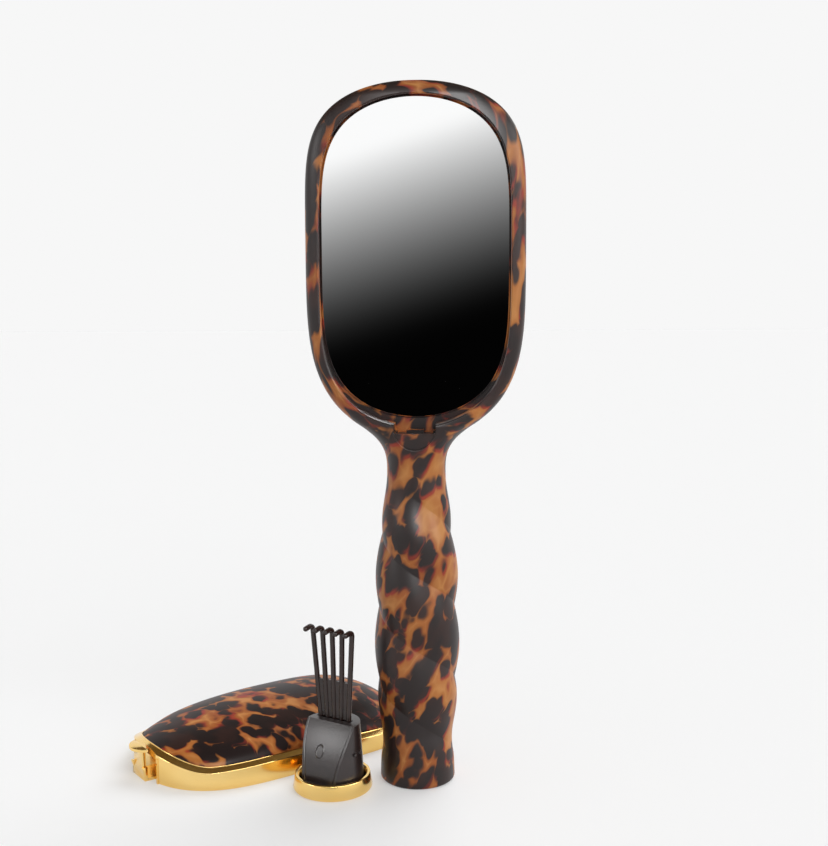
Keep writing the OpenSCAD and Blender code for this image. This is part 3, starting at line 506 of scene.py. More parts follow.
# %% Plastics and rubber
GATE_X, GATE_Z, GATE_W, GATE_H, GATE_LINE = -1.25, 14.5, 1.5, 2.1, 0.16
CREASE_R, CREASE_TAPER, MARK_W, MARK_H = PLUG_R - 0.4, 0.0629, 0.16, 0.16


def plastic(name, colour, roughness, grain_per_metre, strength, depth, marks=None, **constants):
    """An uneven tone with a fine grain. marks gives the height of moulded lines over the grain."""
    material, tree, shader = start_finish(name, Roughness=roughness, **constants)
    where = place_coordinates(tree)
    low, high = (tuple(c * share for c in colour) for share in (0.82, 1.18))
    feed(shader.inputs["Base Color"], ramp(noise(where, per_metre=220), (0.35, low), (0.65, high)))
    grain = bump(shader, noise(where, grain_per_metre, detail=3, roughness=0.6), strength, depth)
    if marks:
        bump(shader, marks(tree), strength=1.0, distance=MARK_H, below=grain)
    return material


def line_at(distance, half_width):
    """1 where a distance is zero, falling to 0 at the half width on either side."""
    return (abs(distance) / -half_width + 1.0).math("MAXIMUM", 0.0)


def plug_marks(tree):
    """A round gate mark on the plug's ramp, and a crease along the ramp's edge."""
    turn = (0, 0, math.degrees(TOOL_TURN))
    x, y, z = parts_of(place_coordinates(tree, turn, shift=(*(TOOL_AT * MM), 0), kind="TEXTURE"))
    across_gate, up_gate = (x - GATE_X * MM) / (GATE_W * MM), (z - GATE_Z * MM) / (GATE_H * MM)
    from_gate = (across_gate * across_gate + up_gate * up_gate).math("SQRT") - 1.0
    from_crease = (x * x + y * y).math("SQRT") + z * CREASE_TAPER - CREASE_R * MM
    lines = line_at(from_gate, GATE_LINE) - line_at(from_crease, MARK_W * MM)
    return lines * y.math("LESS_THAN", 0.0)


plug_plastic = plastic(
    "plug_plastic", from_bytes(42, 31, 30), 0.3, 1500, 0.4, 0.12, plug_marks, Specular_IOR_Level=0.65
)
# name, colour, roughness, grains per metre, and the strength and depth of the grain
ring_plastic = plastic("ring_plastic", from_bytes(34, 32, 32), 0.34, 2200, 0.12, 0.05)
rake_plastic = plastic("rake_plastic", from_bytes(47, 31, 27), 0.22, 700, 0.06, 0.05)
pin_plastic = plastic("pin_plastic", from_bytes(38, 32, 30), 0.26, 900, 0.03, 0.03)
cushion_rubber = plastic("cushion_rubber", from_bytes(36, 33, 32), 0.55, 2400, 0.3, 0.06)
tape_foam = plastic("tape_foam", from_bytes(58, 58, 58), 0.85, 1800, 0.6, 0.2)

# %% [markdown]
# ## The curves of the brush
# The head is an oval whose two ends follow different powers, the handle is a round bar whose radius
# changes in four smooth steps, and two ribs wind round it. The same few functions give the outer
# skin, the recess for the mirror and the cushion's pocket.

# %% Curves of the recess
def ease(t):
    u = np.clip(t, 0, 1)
    return u * u * (3 - 2 * u)


def reach(distance, length, power):
    return np.sqrt(np.maximum(0, 1 - np.minimum(1, np.abs(distance) / length) ** power))


def oval(inset, steps, low_in=0.0):
    """Outline of the recess as x and z, drawn in by inset, from the right side over the top."""
    t = 1 - (1 - np.arange(steps + 1) / steps) ** 2
    w, top, low = OPEN_HALF_W - inset, OPEN_TOP_LEN - inset, OPEN_LOW_LEN - inset - low_in
    upper = np.column_stack([w * reach(t * top, top, OPEN_TOP_POWER), HEAD_MID_Z + t * top])
    lower = np.column_stack([w * reach(t * low, low, OPEN_LOW_POWER), HEAD_MID_Z - t * low])
    across = (-1, 1)
    return np.vstack([upper[:-1], upper[:0:-1] * across, lower[:-1] * across, lower[:0:-1]])


def recess_end(z, inset=0.0):
    """Length and power of the end of the recess that a height lies in."""
    above = z > HEAD_MID_Z
    length = np.where(above, OPEN_TOP_LEN, OPEN_LOW_LEN) - inset
    return length, np.where(above, OPEN_TOP_POWER, OPEN_LOW_POWER)


def open_half(z, inset=0.0):
    return (OPEN_HALF_W - inset) * reach(z - HEAD_MID_Z, *recess_end(z, inset))


def oval_level(x, z, inset):
    """Under 1 inside the recess's outline, drawn in by inset, and over 1 outside it."""
    length, power = recess_end(z, inset)
    return (x / (OPEN_HALF_W - inset)) ** 2 + (np.abs(z - HEAD_MID_Z) / length) ** power


def edge_h(z, top_rise=EDGE_RISE):
    """Height of the cover's ledge over its seat. It rises towards the neck."""
    s = z - OPEN_LOW_Z
    far = (EDGE_MID_H - EDGE_FAR_H) * ((s - EDGE_PEAK) / (SEAT_FAR - EDGE_PEAK)) ** 2
    near = EDGE_DIP * ((EDGE_PEAK - s) / (EDGE_PEAK - RISE_LEN)) ** 2
    rise = top_rise * np.maximum(0, 1 - s / RISE_LEN) ** RISE_POWER
    return EDGE_MID_H - np.where(s > EDGE_PEAK, far, near) + rise


def front_edge_y(z):
    """The frame's front edge follows the ledge of the closed cover and lies behind it."""
    return SEAT_Y - edge_h(z) + RIM_PROUD


# %% Curves of the outer skin
def bridge(a, b, slope_a, slope_b, length, t):
    """A smooth way from a to b over a length, with a slope at each end."""
    u = t / length
    return (
        a * (2 * u**3 - 3 * u**2 + 1)
        + b * (3 * u**2 - 2 * u**3)
        + slope_a * length * (u**3 - 2 * u**2 + u)
        + slope_b * length * (u**3 - u**2)
    )


def handle_r(z):
    for (low, low_r, low_slope), (high, high_r, high_slope) in zip(HANDLE_STATIONS, HANDLE_STATIONS[1:]):
        if z < high:
            return bridge(low_r, high_r, low_slope, high_slope, high - low, z - low)
    return NECK_R


def oval_half(z):
    top = z > HEAD_MID_Z
    length, power = (HEAD_TOP_LEN, HEAD_TOP_POWER) if top else (HEAD_LOW_LEN, HEAD_LOW_POWER)
    return HEAD_HALF_W * reach(z - HEAD_MID_Z, length, power)


def half_w(z):
    if z < NECK_Z:
        return handle_r(z)
    t = ease((z - SHOULDER_Z) / SHOULDER_BLEND + 0.5)
    flare = oval_half(SHOULDER_Z) + SHOULDER_OVER - NECK_R
    neck = NECK_R + flare * ((z - NECK_Z) / (SHOULDER_Z - NECK_Z)) ** FLARE_POWER
    return neck * (1 - t) + oval_half(z) * t if t > 0 else neck


def mid_y(z):
    return HEAD_SHIFT * ease((z - NECK_Z) / SHIFT_LEN)


def end_factor(z):
    return np.sqrt(np.maximum(0, 1 - (np.maximum(0, z - TOTAL_H + TIP_ROUND) / TIP_ROUND) ** 2))


def squareness(z):
    return 2 + (HEAD_POWER - 2) * ease((z - NECK_Z) / SQUARE_LEN)


def back_depth(z):
    return NECK_R + (HEAD_BACK - HEAD_SHIFT - NECK_R) * ease((z - NECK_Z) / BACK_LEN)


def front_depth(z):
    if z < OPEN_LOW_Z:
        lift = ease((z - NECK_Z) / (OPEN_LOW_Z - NECK_Z))
        return NECK_R - (float(front_edge_y(OPEN_LOW_Z)) + NECK_R) * lift + mid_y(z)
    level = min(z, OPEN_TOP_Z)
    n = squareness(level)
    u = open_half(level) / half_w(level)
    at_edge = (1 - u**n) ** (1 / n) * end_factor(level)
    return (mid_y(level) - front_edge_y(level)) / at_edge


# %% [markdown]
# ## The handle and head frame
# The real frame is one moulding: twisted handle, neck and oval head with a recess on either side. It could
# be sculpted, but a loft keeps the ribs even. Rings of points climb from the flat end to the tip, and the
# columns of the rings wind with the ribs, so that the creases between the ribs stay crisp. Then
# closed cutters open the recess, the cushion's pocket, the notch for the latch and the bore. The
# cutters flare where they meet the skin, which rounds the edges as a mould does.

# %% Rings of the frame
COLUMNS = 160
phase_columns = math.ceil(COLUMNS * (NECK_Z / TWIST_LEAD + TWIST_PHASE / 2))
TWIST_END_Z = TWIST_LEAD * (phase_columns / COLUMNS - TWIST_PHASE / 2)
DENSE_TO_Z = SHOULDER_Z + 6  # the rings lie closer up to here


def frame_ring(z, shrink=0.0):
    column = np.arange(COLUMNS)
    turns = column / COLUMNS - TWIST_PHASE / 2 - min(z, TWIST_END_Z) / TWIST_LEAD
    across, deep = np.cos(2 * math.pi * turns), np.sin(2 * math.pi * turns)
    share = (column % (COLUMNS // 2)) / (COLUMNS // 2)
    falling = 0.5 + (share - TWIST_LEAN) / (1 - TWIST_LEAN) / 2
    lean = np.where(share < TWIST_LEAN, share / TWIST_LEAN / 2, falling)
    fade = ease((NECK_Z - z) / NECK_FADE_LEN) * ease((z - FADE_Z) / FADE_LEN)
    swell = 1 - TWIST_DEPTH * fade * (1 - np.sin(math.pi * lean))
    power = 2 / squareness(z)
    depth = np.where(deep < 0, front_depth(z), back_depth(z)) * end_factor(z)
    if z < NECK_Z:
        depth = np.full(COLUMNS, handle_r(z) - shrink)
    x = (half_w(z) - shrink) * swell * np.sign(across) * np.abs(across) ** power
    y = mid_y(z) + depth * swell * np.sign(deep) * np.abs(deep) ** power
    return np.column_stack([x, y, np.full(COLUMNS, z)])


def frame_skin():
    turns = np.radians(np.arange(0, 90, 15))
    foot = [frame_ring(END_ROUND * (1 - math.cos(a)), END_ROUND * (1 - math.sin(a))) for a in turns]
    levels = np.concatenate([
        np.linspace(END_ROUND, NECK_Z, 200),
        np.linspace(NECK_Z, DENSE_TO_Z, 56)[1:],
        np.linspace(DENSE_TO_Z, HEAD_MID_Z, 40)[1:],
        HEAD_MID_Z + HEAD_TOP_LEN * (1 - (1 - np.arange(1, 60) / 60) ** 2),
    ])
    rings = foot + [frame_ring(z) for z in levels]
    return loft("brush_frame", rings, tips=((0, 0, 0), (0, mid_y(TOTAL_H), TOTAL_H)), crisp=60)


brush_frame = frame_skin()
print("frame skin:", len(brush_frame.data.polygons), "faces")

# %% Helpers for cutters
def outward(outline):
    """Unit normals of a closed outline that runs counter-clockwise."""
    way = np.roll(outline, -1, axis=0) - np.roll(outline, 1, axis=0)
    normal = np.column_stack([way[:, 1], -way[:, 0]])
    return normal / np.linalg.norm(normal, axis=1)[:, None]


PAST_SKIN = 20.0  # how far a cutter reaches past the skin


def pocket_cutter(name, outline, floor_y, surface_y, radius=0.0, slope=20.0):
    """A prism from a floor out past the skin. It flares at the skin, which slopes away by an angle."""
    surface_y = np.broadcast_to(surface_y, len(outline))
    side = 1.0 if np.mean(surface_y) > floor_y else -1.0
    depth = side * (surface_y - floor_y)
    turn = math.radians(90 - slope)
    flare = radius * (1 - math.cos(turn))
    start = depth - flare * math.tan(math.radians(slope)) - radius * math.sin(turn)
    bends = np.linspace(0, turn, 6 if radius else 1)
    profile = [(0.0, np.zeros(len(outline)))]
    profile += [(radius * (1 - math.cos(a)), start + radius * math.sin(a)) for a in bends]
    profile.append((flare, depth + PAST_SKIN))
    rings = []
    for out, deep in profile:
        moved = outline + outward(outline) * out
        rings.append(np.column_stack([moved[:, 0], floor_y + side * deep, moved[:, 1]]))
    return loft(name, rings)


def skin_y(x, z, side):
    """Where the frame's skin lies at the front (-1) or the back (1) of places x and z."""
    depth = front_depth if side < 0 else back_depth
    n = squareness(z)
    wide = np.array([half_w(level) for level in z])
    deep = np.array([depth(level) for level in z]) * end_factor(z)
    return mid_y(z) + side * deep * np.maximum(0, 1 - np.minimum(1, np.abs(x) / wide) ** n) ** (1 / n)


def rounded_box(half, low, high, radius):
    """A box with round corners about the middle line."""
    x, low_z, high_z = half - radius, low + radius, high - radius
    points = []
    for corner, centre in enumerate(((x, high_z), (-x, high_z), (-x, low_z), (x, low_z))):
        points += arc(centre, radius, 90 * corner, 90 * corner + 90, 6)
    return np.array(points)


# %% Cutters for the recess and the cushion pocket
OVAL_STEPS = 72
HAIR = 0.02  # keeps the walls of two cutters from lying in one plane
outline, pocket_line = oval(0, OVAL_STEPS), oval(POCKET_IN, OVAL_STEPS)
window_line = oval(POCKET_IN + HAIR, OVAL_STEPS, FOOT_LEDGE)
cutters = [
    pocket_cutter("recess", outline, SEAT_Y, front_edge_y(outline[:, 1]), radius=0.7),
    pocket_cutter("mirror pocket", oval(HAIR, OVAL_STEPS, FOOT_LEDGE), FLANGE_Y, SEAT_Y - 1.0),
    pocket_cutter("window", window_line, FLANGE_Y + 1, FLANGE_Y - 1.0),
    pocket_cutter("pocket", pocket_line, FLANGE_Y, skin_y(*pocket_line.T, 1), radius=0.6, slope=25),
]
print("cutters:", [cutter.name for cutter in cutters])

# %% Cutters for the notch, the slots and the bore
latch_low_z = OPEN_LOW_Z - NOTCH_D
hold_y = SEAT_Y - SHOULDER_H - LATCH_PLAY
notch_line = rounded_box(NOTCH_W / 2, latch_low_z, OPEN_LOW_Z + 3, radius=0.7)
notch_skin = skin_y(notch_line[:, 0], np.minimum(notch_line[:, 1], OPEN_LOW_Z), -1)
low_z, ledge_z = OPEN_LOW_Z - COVER_S - LATCH_PLAY, OPEN_LOW_Z + FOOT_LEDGE + 1
low_line = rounded_box(NOTCH_W / 2, low_z, ledge_z, radius=0.5)

chord = NOTCH_W / 2 - 0.3
thumb_r = (chord**2 + THUMB_LEN**2) / (2 * THUMB_LEN)
half_turn = math.degrees(math.asin(chord / thumb_r))
thumb_line = np.array([
    *arc((0, latch_low_z - THUMB_LEN + thumb_r), thumb_r, -90 - half_turn, half_turn - 90, 41),
    (chord, latch_low_z + 0.6), (-chord, latch_low_z + 0.6),
])
thumb_floor = float(front_edge_y(OPEN_LOW_Z)) + THUMB_D
cutters += [
    pocket_cutter("notch", notch_line, hold_y, notch_skin, radius=0.35, slope=10),
    pocket_cutter("low notch", low_line, SEAT_Y + NOTCH_FLOOR, hold_y - 1.0),
    pocket_cutter("thumb", thumb_line, thumb_floor, skin_y(*thumb_line.T, -1), radius=0.4, slope=10),
]
barb_x, slot_half = (LATCH_TOP_W + LATCH_LOW_W) / 4, 1.6
for side in (-1, 1):
    slot_x = (side * barb_x - slot_half, side * barb_x + slot_half)
    slot_y = (hold_y - 0.1, SEAT_Y + NOTCH_FLOOR)
    cutters.append(block("barb slot", slot_x, slot_y, (latch_low_z, OPEN_LOW_Z)))
tongue_half = TONGUE_W / 2 + TONGUE_PLAY
tongue_y = (SEAT_Y - TONGUE_H[1] - TONGUE_PLAY, SEAT_Y - TONGUE_H[0] + TONGUE_PLAY)
tongue_z = (OPEN_TOP_Z - 1, OPEN_TOP_Z + TONGUE_OUT + TONGUE_PLAY)
cutters.append(block("tongue slot", (-tongue_half, tongue_half), tongue_y, tongue_z))
cutters.append(spun("bore", [(BORE_R + 1.4, -1.0), (BORE_R, 0.4), (BORE_R, BORE_LEN)], 96))
carve(brush_frame, cutters, crisp=32)
dress(brush_frame, "brush", brush_shell, "handle_frame")

# %% [markdown]
# ## The mirror
# The mirror is a flat pane on black foam tape, and its edge is ground to a bevel all round. A flat face
# needs no detail of its own, but the bevel mirrors the wall of the recess and draws a thin line of light.

# %% Mirror and its tape
def wall_rings(profile, low_in=0.0):
    """A profile of inset and depth, swept along the recess outline."""
    return [np.insert(oval(inset, OVAL_STEPS, low_in), 1, y, axis=1) for inset, y in profile]


face_in = GLASS_GAP + BEVEL_W
pane_profile = [
    (GLASS_GAP, SEAT_Y + GLASS_T), (GLASS_GAP, SEAT_Y + BEVEL_D), (face_in, SEAT_Y), (face_in + 0.1, SEAT_Y),
]
mirror_pane = loft("mirror_pane", wall_rings(pane_profile, FOOT_LEDGE), crisp=10)
dress(mirror_pane, "brush", mirror_finish, "mirror_glass")
repaint("mirror_tape", tape_foam)
repaint("carrier_plate", ring_plastic)

# %% [markdown]
# ## The air cushion, its ring and the pins
# The back of the head holds a thin domed rubber cushion, clamped by a black ring. Cloth simulation would
# suit a sewn pad, but moulded rubber has an exact crown, so it is a lofted dome. It sinks when the pins
# are pushed. The pins stand in offset rows, lean a little outwards and end in balls.

# %% Cushion and ring
dome_edge, dome_base = DOME_IN + SEAM, RING_Y - 0.3


def crown_y(x, z):
    return dome_base + CROWN_H * np.sqrt(np.maximum(0, 1 - oval_level(x, z, dome_edge)))


edge_line = oval(dome_edge, 36)
cushion_rings = [np.insert(edge_line, 1, CUSHION_Y + 0.05, axis=1)]
for share in 1 - (np.arange(24) / 24) ** 2:
    x, z = edge_line[:, 0] * share, HEAD_MID_Z + (edge_line[:, 1] - HEAD_MID_Z) * share
    cushion_rings.append(np.column_stack([x, crown_y(x, z), z]))
air_cushion = loft("air_cushion", cushion_rings, tips=(None, (0, dome_base + CROWN_H, HEAD_MID_Z)), crisp=60)
dress(air_cushion, "brush", cushion_rubber, "bristle_cushion")
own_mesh(air_cushion)

ring_out, corner_y = POCKET_IN + SEAM, RING_Y + RING_T - RING_ROUND
ring_profile = [
    (ring_out, RING_Y),
    *arc((ring_out + RING_ROUND, corner_y), RING_ROUND, 180, 90, 5),
    *arc((DOME_IN - RING_ROUND, corner_y), RING_ROUND, 90, 0, 5),
    (DOME_IN, RING_Y),
]
clamp_ring = loft("clamp_ring", wall_rings(ring_profile), closed=True, crisp=50)
dress(clamp_ring, "brush", ring_plastic, "cushion_ring")

# %% Pins
def pin_places():
    places = []
    for row in range(-30, 31):
        for place in range(-12, 13):
            x = (place + (0 if row % 2 == 0 else 0.5)) * PIN_PITCH
            z = MIDDLE_Z + row * PIN_PITCH * math.sqrt(3) / 2
            if OPEN_LOW_Z < z < OPEN_TOP_Z and oval_level(x, z, DOME_IN + BED_IN + PIN_IN) < 1:
                places.append((x, z))
    return places


def pin_stations():
    """Radius and height of the pin, from a small collar at the foot to the ball at the tip."""
    sunk, collar_h, taper_h, middle_r = 0.6, 0.225, 0.6, (PIN_FOOT_R + PIN_TIP_R) / 2
    collar = [(PIN_COLLAR_R, -sunk), (PIN_COLLAR_R, collar_h), (PIN_FOOT_R, taper_h)]
    return [*collar, (middle_r, PIN_LEN / 2), *arc((0, PIN_LEN - PIN_BALL_R), PIN_BALL_R, -50, 90, 6)]


def bristle_pins():
    places, stations = pin_places(), pin_stations()
    points, faces = [], []
    circle = arc((0, 0), 1, 0, 360, PIN_SIDES + 1)[:-1]
    for x, z in places:
        foot = float(crown_y(x, z))
        lean = PIN_SPLAY * np.array([foot - crown_y(x + 0.5, z), foot - crown_y(x, z + 0.5)]) / 0.5
        first = len(points)
        for radius, rise in stations:
            mid_x, mid_z = x + lean[0] * rise, z + lean[1] * rise
            points += [(mid_x + radius * c, foot + rise, mid_z + radius * s) for c, s in circle]
        faces += ring_faces(len(stations), PIN_SIDES, first)
        for end in (first, len(points) - PIN_SIDES):
            faces.append(tuple(end + i for i in range(PIN_SIDES)))
    print("pins:", len(places))
    return add_piece("bristle_pins", points, faces, crisp=50)


dress(bristle_pins(), "pins", pin_plastic, "pin_bed")

# %% [markdown]
# ## The cover
# The cover snaps into the mirror's recess for travel. It has a gold rim with a ledge that follows the
# rising edge of the frame, and a tortoiseshell dome. Both are lofted in the cover's own
# measures, across, along and up, and are then laid beside the brush.

# %% Measures along the cover
EDGE_NECK_H = float(edge_h(OPEN_LOW_Z, COVER_RISE))


def to_s(z):
    return z - OPEN_LOW_Z + COVER_S


def rim_h(z, inset):
    """Height of the rim's edge for a point on an outline drawn in by inset."""
    length, power = recess_end(z)
    return edge_h(HEAD_MID_Z + (z - HEAD_MID_Z) * (length - COVER_GAP) / (length - inset), COVER_RISE)


def cover_ring(drawn, height):
    return np.column_stack([drawn[:, 0], to_s(drawn[:, 1]), height])


# %% Dome of the cover
def dome_crest(z):
    s, low_s, top_s = to_s(z), COVER_S + SHELL_IN, SEAT_FAR + COVER_S - SHELL_IN
    near = (DOME_H - EDGE_NECK_H) * np.maximum(0, (DOME_PEAK_S - s) / (DOME_PEAK_S - low_s)) ** DOME_LOW_POWER
    far = (DOME_H - EDGE_FAR_H) * np.maximum(0, (s - DOME_PEAK_S) / (top_s - DOME_PEAK_S)) ** DOME_TOP_POWER
    return DOME_H - np.where(s < DOME_PEAK_S, near, far)


def dome_height(x, z, inset, drop):
    w = np.maximum(0.01, open_half(z, inset))
    base = rim_h(z, inset)
    rise = np.maximum(0, dome_crest(z) - base)
    return base - drop + rise * np.sqrt(np.maximum(0, 1 - (x / w) ** 2))


def dome_ring(inset, share, drop):
    drawn = oval(inset, OVAL_STEPS) * share + np.array([0, MIDDLE_Z * (1 - share)])
    return cover_ring(drawn, dome_height(*drawn.T, inset, drop))


def edge_ring(inset, below=0.0):
    drawn = oval(inset, OVAL_STEPS)
    return cover_ring(drawn, rim_h(drawn[:, 1], inset) - below)


inner, foot_drop = SHELL_IN + SHELL_T, SHELF_SET - SEAM
dome_rings = [dome_ring(inner, share, SHELL_T) for share in 1 - (np.arange(23, 0, -1) / 24) ** 2]
dome_rings += [edge_ring(inner, foot_drop), edge_ring(SHELL_IN, foot_drop), edge_ring(SHELL_IN)]
dome_rings += [dome_ring(SHELL_IN, share, 0) for share in 1 - (np.arange(1, 40) / 40) ** 2]
tips = [
    (0, to_s(MIDDLE_Z), float(dome_height(0.0, MIDDLE_Z, inset, drop)))
    for inset, drop in ((inner, SHELL_T), (SHELL_IN, 0))
]
cover_dome = loft("cover_dome", dome_rings, tips=tips, crisp=40)
dress(cover_dome, "cover", cover_shell, "cover_shell")

# %% Gold rim
def rim_rings():
    """Each point of the profile has an inset, a height, and 1 where it follows the edge or 0 at the foot."""
    wall_in, lip_in, shelf_in = COVER_GAP + RIM_T, COVER_GAP + RIM_LEDGE, SHELL_IN + SHELL_T
    lip_out, shelf_foot = lip_in + LIP_W, -SHELF_SET - SHELF_T
    profile = [(COVER_GAP + 0.25, 0, 0), (COVER_GAP, 0.25, 0)]
    profile += [(*p, 1) for p in arc((COVER_GAP + RIM_BEVEL, -RIM_BEVEL), RIM_BEVEL, 180, 90, 6)]
    profile += [
        (lip_in, LEDGE_RISE, 1), (lip_in, LIP_H - LIP_ROUND, 1), (lip_in + LIP_ROUND / 2, LIP_H, 1),
        (lip_out - LIP_ROUND / 2, LIP_H, 1), (lip_out, LIP_H - LIP_ROUND, 1), (lip_out, -SHELF_SET, 1),
        (shelf_in, -SHELF_SET, 1), (shelf_in, shelf_foot, 1), (wall_in, shelf_foot, 1), (wall_in, 0, 0),
    ]
    edge = edge_h(oval(COVER_GAP, OVAL_STEPS)[:, 1], COVER_RISE)
    return [cover_ring(oval(inset, OVAL_STEPS), height + share * edge) for inset, height, share in profile]


OVERLAP = 0.3  # how far joined pieces reach into each other
back_s, far_s = LATCH_T + LATCH_GAP, SEAT_FAR + COVER_S
wall_h, rim_in = EDGE_NECK_H - SHELF_SET - SHELF_T - 0.4, COVER_GAP + RIM_T
gap_x, outer_x = (-LATCH_SIDE, LATCH_SIDE), LATCH_SIDE + WALL_T
side_s = (COVER_S + rim_in - OVERLAP, back_s + OVERLAP)
tongue_s = (far_s - rim_in + OVERLAP, far_s + TONGUE_OUT)
gold_rim = loft("gold_rim", rim_rings(), closed=True, crisp=40)
carve(gold_rim, [
    block("latch opening", gap_x, (-1, COVER_S + rim_in - 0.05), (-1, PAST_SKIN)),
    block("bend space", gap_x, (-1, back_s), (-1, wall_h - 0.6)),
], crisp=40)
carve(gold_rim, [
    block("tongue", (-TONGUE_W / 2, TONGUE_W / 2), tongue_s, TONGUE_H),
    block("back wall", (-outer_x, outer_x), (back_s, back_s + WALL_T), (0, wall_h)),
    block("left wall", (-outer_x, -LATCH_SIDE), side_s, (0, wall_h)),
    block("right wall", (LATCH_SIDE, outer_x), side_s, (0, wall_h)),
    block("strap", (-LATCH_LOW_W / 2, LATCH_LOW_W / 2), (LATCH_T, back_s + OVERLAP), (0, STRAP_T)),
], operation="UNION", crisp=40)
dress(gold_rim, "cover", polished_gold, "cover_rim")

# %% [markdown]
# ## The latch
# A push on the half-moon tab bends the latch on its foot, and its barbs leave the notch of the frame.
# It is built from plates that are joined into one solid, and all its edges are softened, because
# plated parts never have knife edges.

# %% Latch
tab_depth = TAB_OUT + LATCH_T
tab_r = (TAB_W**2 / 4 + tab_depth**2) / (2 * tab_depth)
tab_turn = math.degrees(math.asin(min(1, TAB_W / 2 / tab_r)))
tab_line = arc((0, tab_r - TAB_OUT), tab_r, -90 - tab_turn, tab_turn - 90, 33)
tab_top = EDGE_NECK_H + 0.4
tab_low = tab_top - TAB_T
stem_z = (SHOULDER_H - OVERLAP, tab_low + OVERLAP)
push_latch = block("push_latch", (-LATCH_LOW_W / 2, LATCH_LOW_W / 2), (0, LATCH_T), (0, SHOULDER_H))
plates = [
    block("stem", (-LATCH_TOP_W / 2, LATCH_TOP_W / 2), (0, LATCH_T), stem_z),
    prism("tab", tab_line, 2, tab_low, tab_top),
]
barb_half = (LATCH_LOW_W - LATCH_TOP_W) / 4
barb_line = [
    (BARB_ROOT, SHOULDER_H), (-BARB_OUT, SHOULDER_H), (-BARB_OUT, SHOULDER_H - 0.5),
    (0, SHOULDER_H - BARB_H), (BARB_ROOT, SHOULDER_H - BARB_H),
]
for side in (-1, 1):
    plates.append(prism("barb", barb_line, 0, side * barb_x - barb_half, side * barb_x + barb_half))
carve(push_latch, plates, operation="UNION")
soften_edges(push_latch, width=0.16)
dress(push_latch, "latch", polished_gold, "release_latch")

# %% [markdown]
# ## The cleaning tool
# A gold cap closes the handle and carries a black plug with a thumb ramp, and five hooked tines comb
# the hair out of the pins. The cap is turned on a lathe, so its profile is spun round. The plug is a
# cone with one side carved away along a large cylinder, and every tine is a bar swept along a bent line.

# %% Gold cap
CAP_MOUTH = [(1.35, 0), (1.2, 0.12), (0.05, 2.2)]  # inner edge: past the plug, below the cap's top
cap_profile = [
    *arc((CAP_FOOT_R - CAP_ROUND, CAP_ROUND), CAP_ROUND, -90, 0, 8),
    *arc((END_R - CAP_BEVEL, CAP_H - CAP_BEVEL), CAP_BEVEL, 5.73, 90, 6),
    *((PLUG_R + past, CAP_H - below) for past, below in CAP_MOUTH),
    (PLUG_R + CAP_MOUTH[-1][0], CAP_FLOOR),
]
gold_cap = spun("gold_cap", cap_profile)
dress(gold_cap, "tool", polished_gold, "end_cap")

# %% Plug with its thumb ramp
ramp_top, ramp_foot = np.array([RAMP_TOP_Y, PLUG_TOP_Z]), np.array([RAMP_FOOT_Y, CAP_H - 0.6])
ramp_len = np.linalg.norm(ramp_top - ramp_foot)
ramp_r = (ramp_len**2 / 4 + RAMP_BULGE**2) / (2 * RAMP_BULGE)
ramp_way = (ramp_top - ramp_foot) / ramp_len
ramp_centre = (ramp_top + ramp_foot) / 2 + np.array([ramp_way[1], -ramp_way[0]]) * (ramp_r - RAMP_BULGE)
plug = spun("plug", [(PLUG_R, CAP_FLOOR), (PLUG_R, CAP_H + 0.4), (PLUG_TOP_R, PLUG_TOP_Z)])
barrel = prism("barrel", arc(ramp_centre, ramp_r, 0, 360, 257)[:-1], 0, -PAST_SKIN - 1, PAST_SKIN + 1)
front_y, front_z = (-PAST_SKIN, RAMP_TOP_Y), (CAP_FLOOR + 2, 2 * PAST_SKIN)
front = block("front block", (-PAST_SKIN, PAST_SKIN), front_y, front_z)
carve(plug, [carve(front, [barrel])])
soften_edges(plug, width=0.5, segments=4, angle=25)
lugs = []
for side in (-1, 1):
    lug_z = (LUG_Z - LUG_H / 2, LUG_Z + LUG_H / 2)
    lug = block("lug", (PLUG_TOP_R - 1, PLUG_R + LUG_OUT), (-LUG_W / 2, LUG_W / 2), lug_z)
    lug.data.transform(Matrix.Rotation(math.radians(LUG_TURN * side), 4, "Z"))
    lugs.append(soften_edges(lug, width=0.2))
carve(plug, lugs, operation="UNION", crisp=30)
dress(plug, "tool", plug_plastic, "tool_plug")

# %% Bars for the tines
TINE_SIDES, TINE_SQUARE = 16, 2.6


def swept_bar(name, points, ways, radii):
    """A bar along points, with a slightly squared section square to the way there."""
    a = (np.arange(TINE_SIDES) + 0.5) * 2 * math.pi / TINE_SIDES
    c, s = np.cos(a), np.sin(a)
    grow = (np.abs(c) ** TINE_SQUARE + np.abs(s) ** TINE_SQUARE) ** (-1 / TINE_SQUARE)
    rings = []
    for point, way, radius in zip(points, ways, radii):
        w = np.array(way) / np.linalg.norm(way)
        u = np.array([1.0, 0, 0]) - w * w[0]
        u /= np.linalg.norm(u)
        rings.append(np.array(point) + radius * (np.outer(c * grow, u) + np.outer(s * grow, np.cross(w, u))))
    return loft(name, rings, crisp=50)


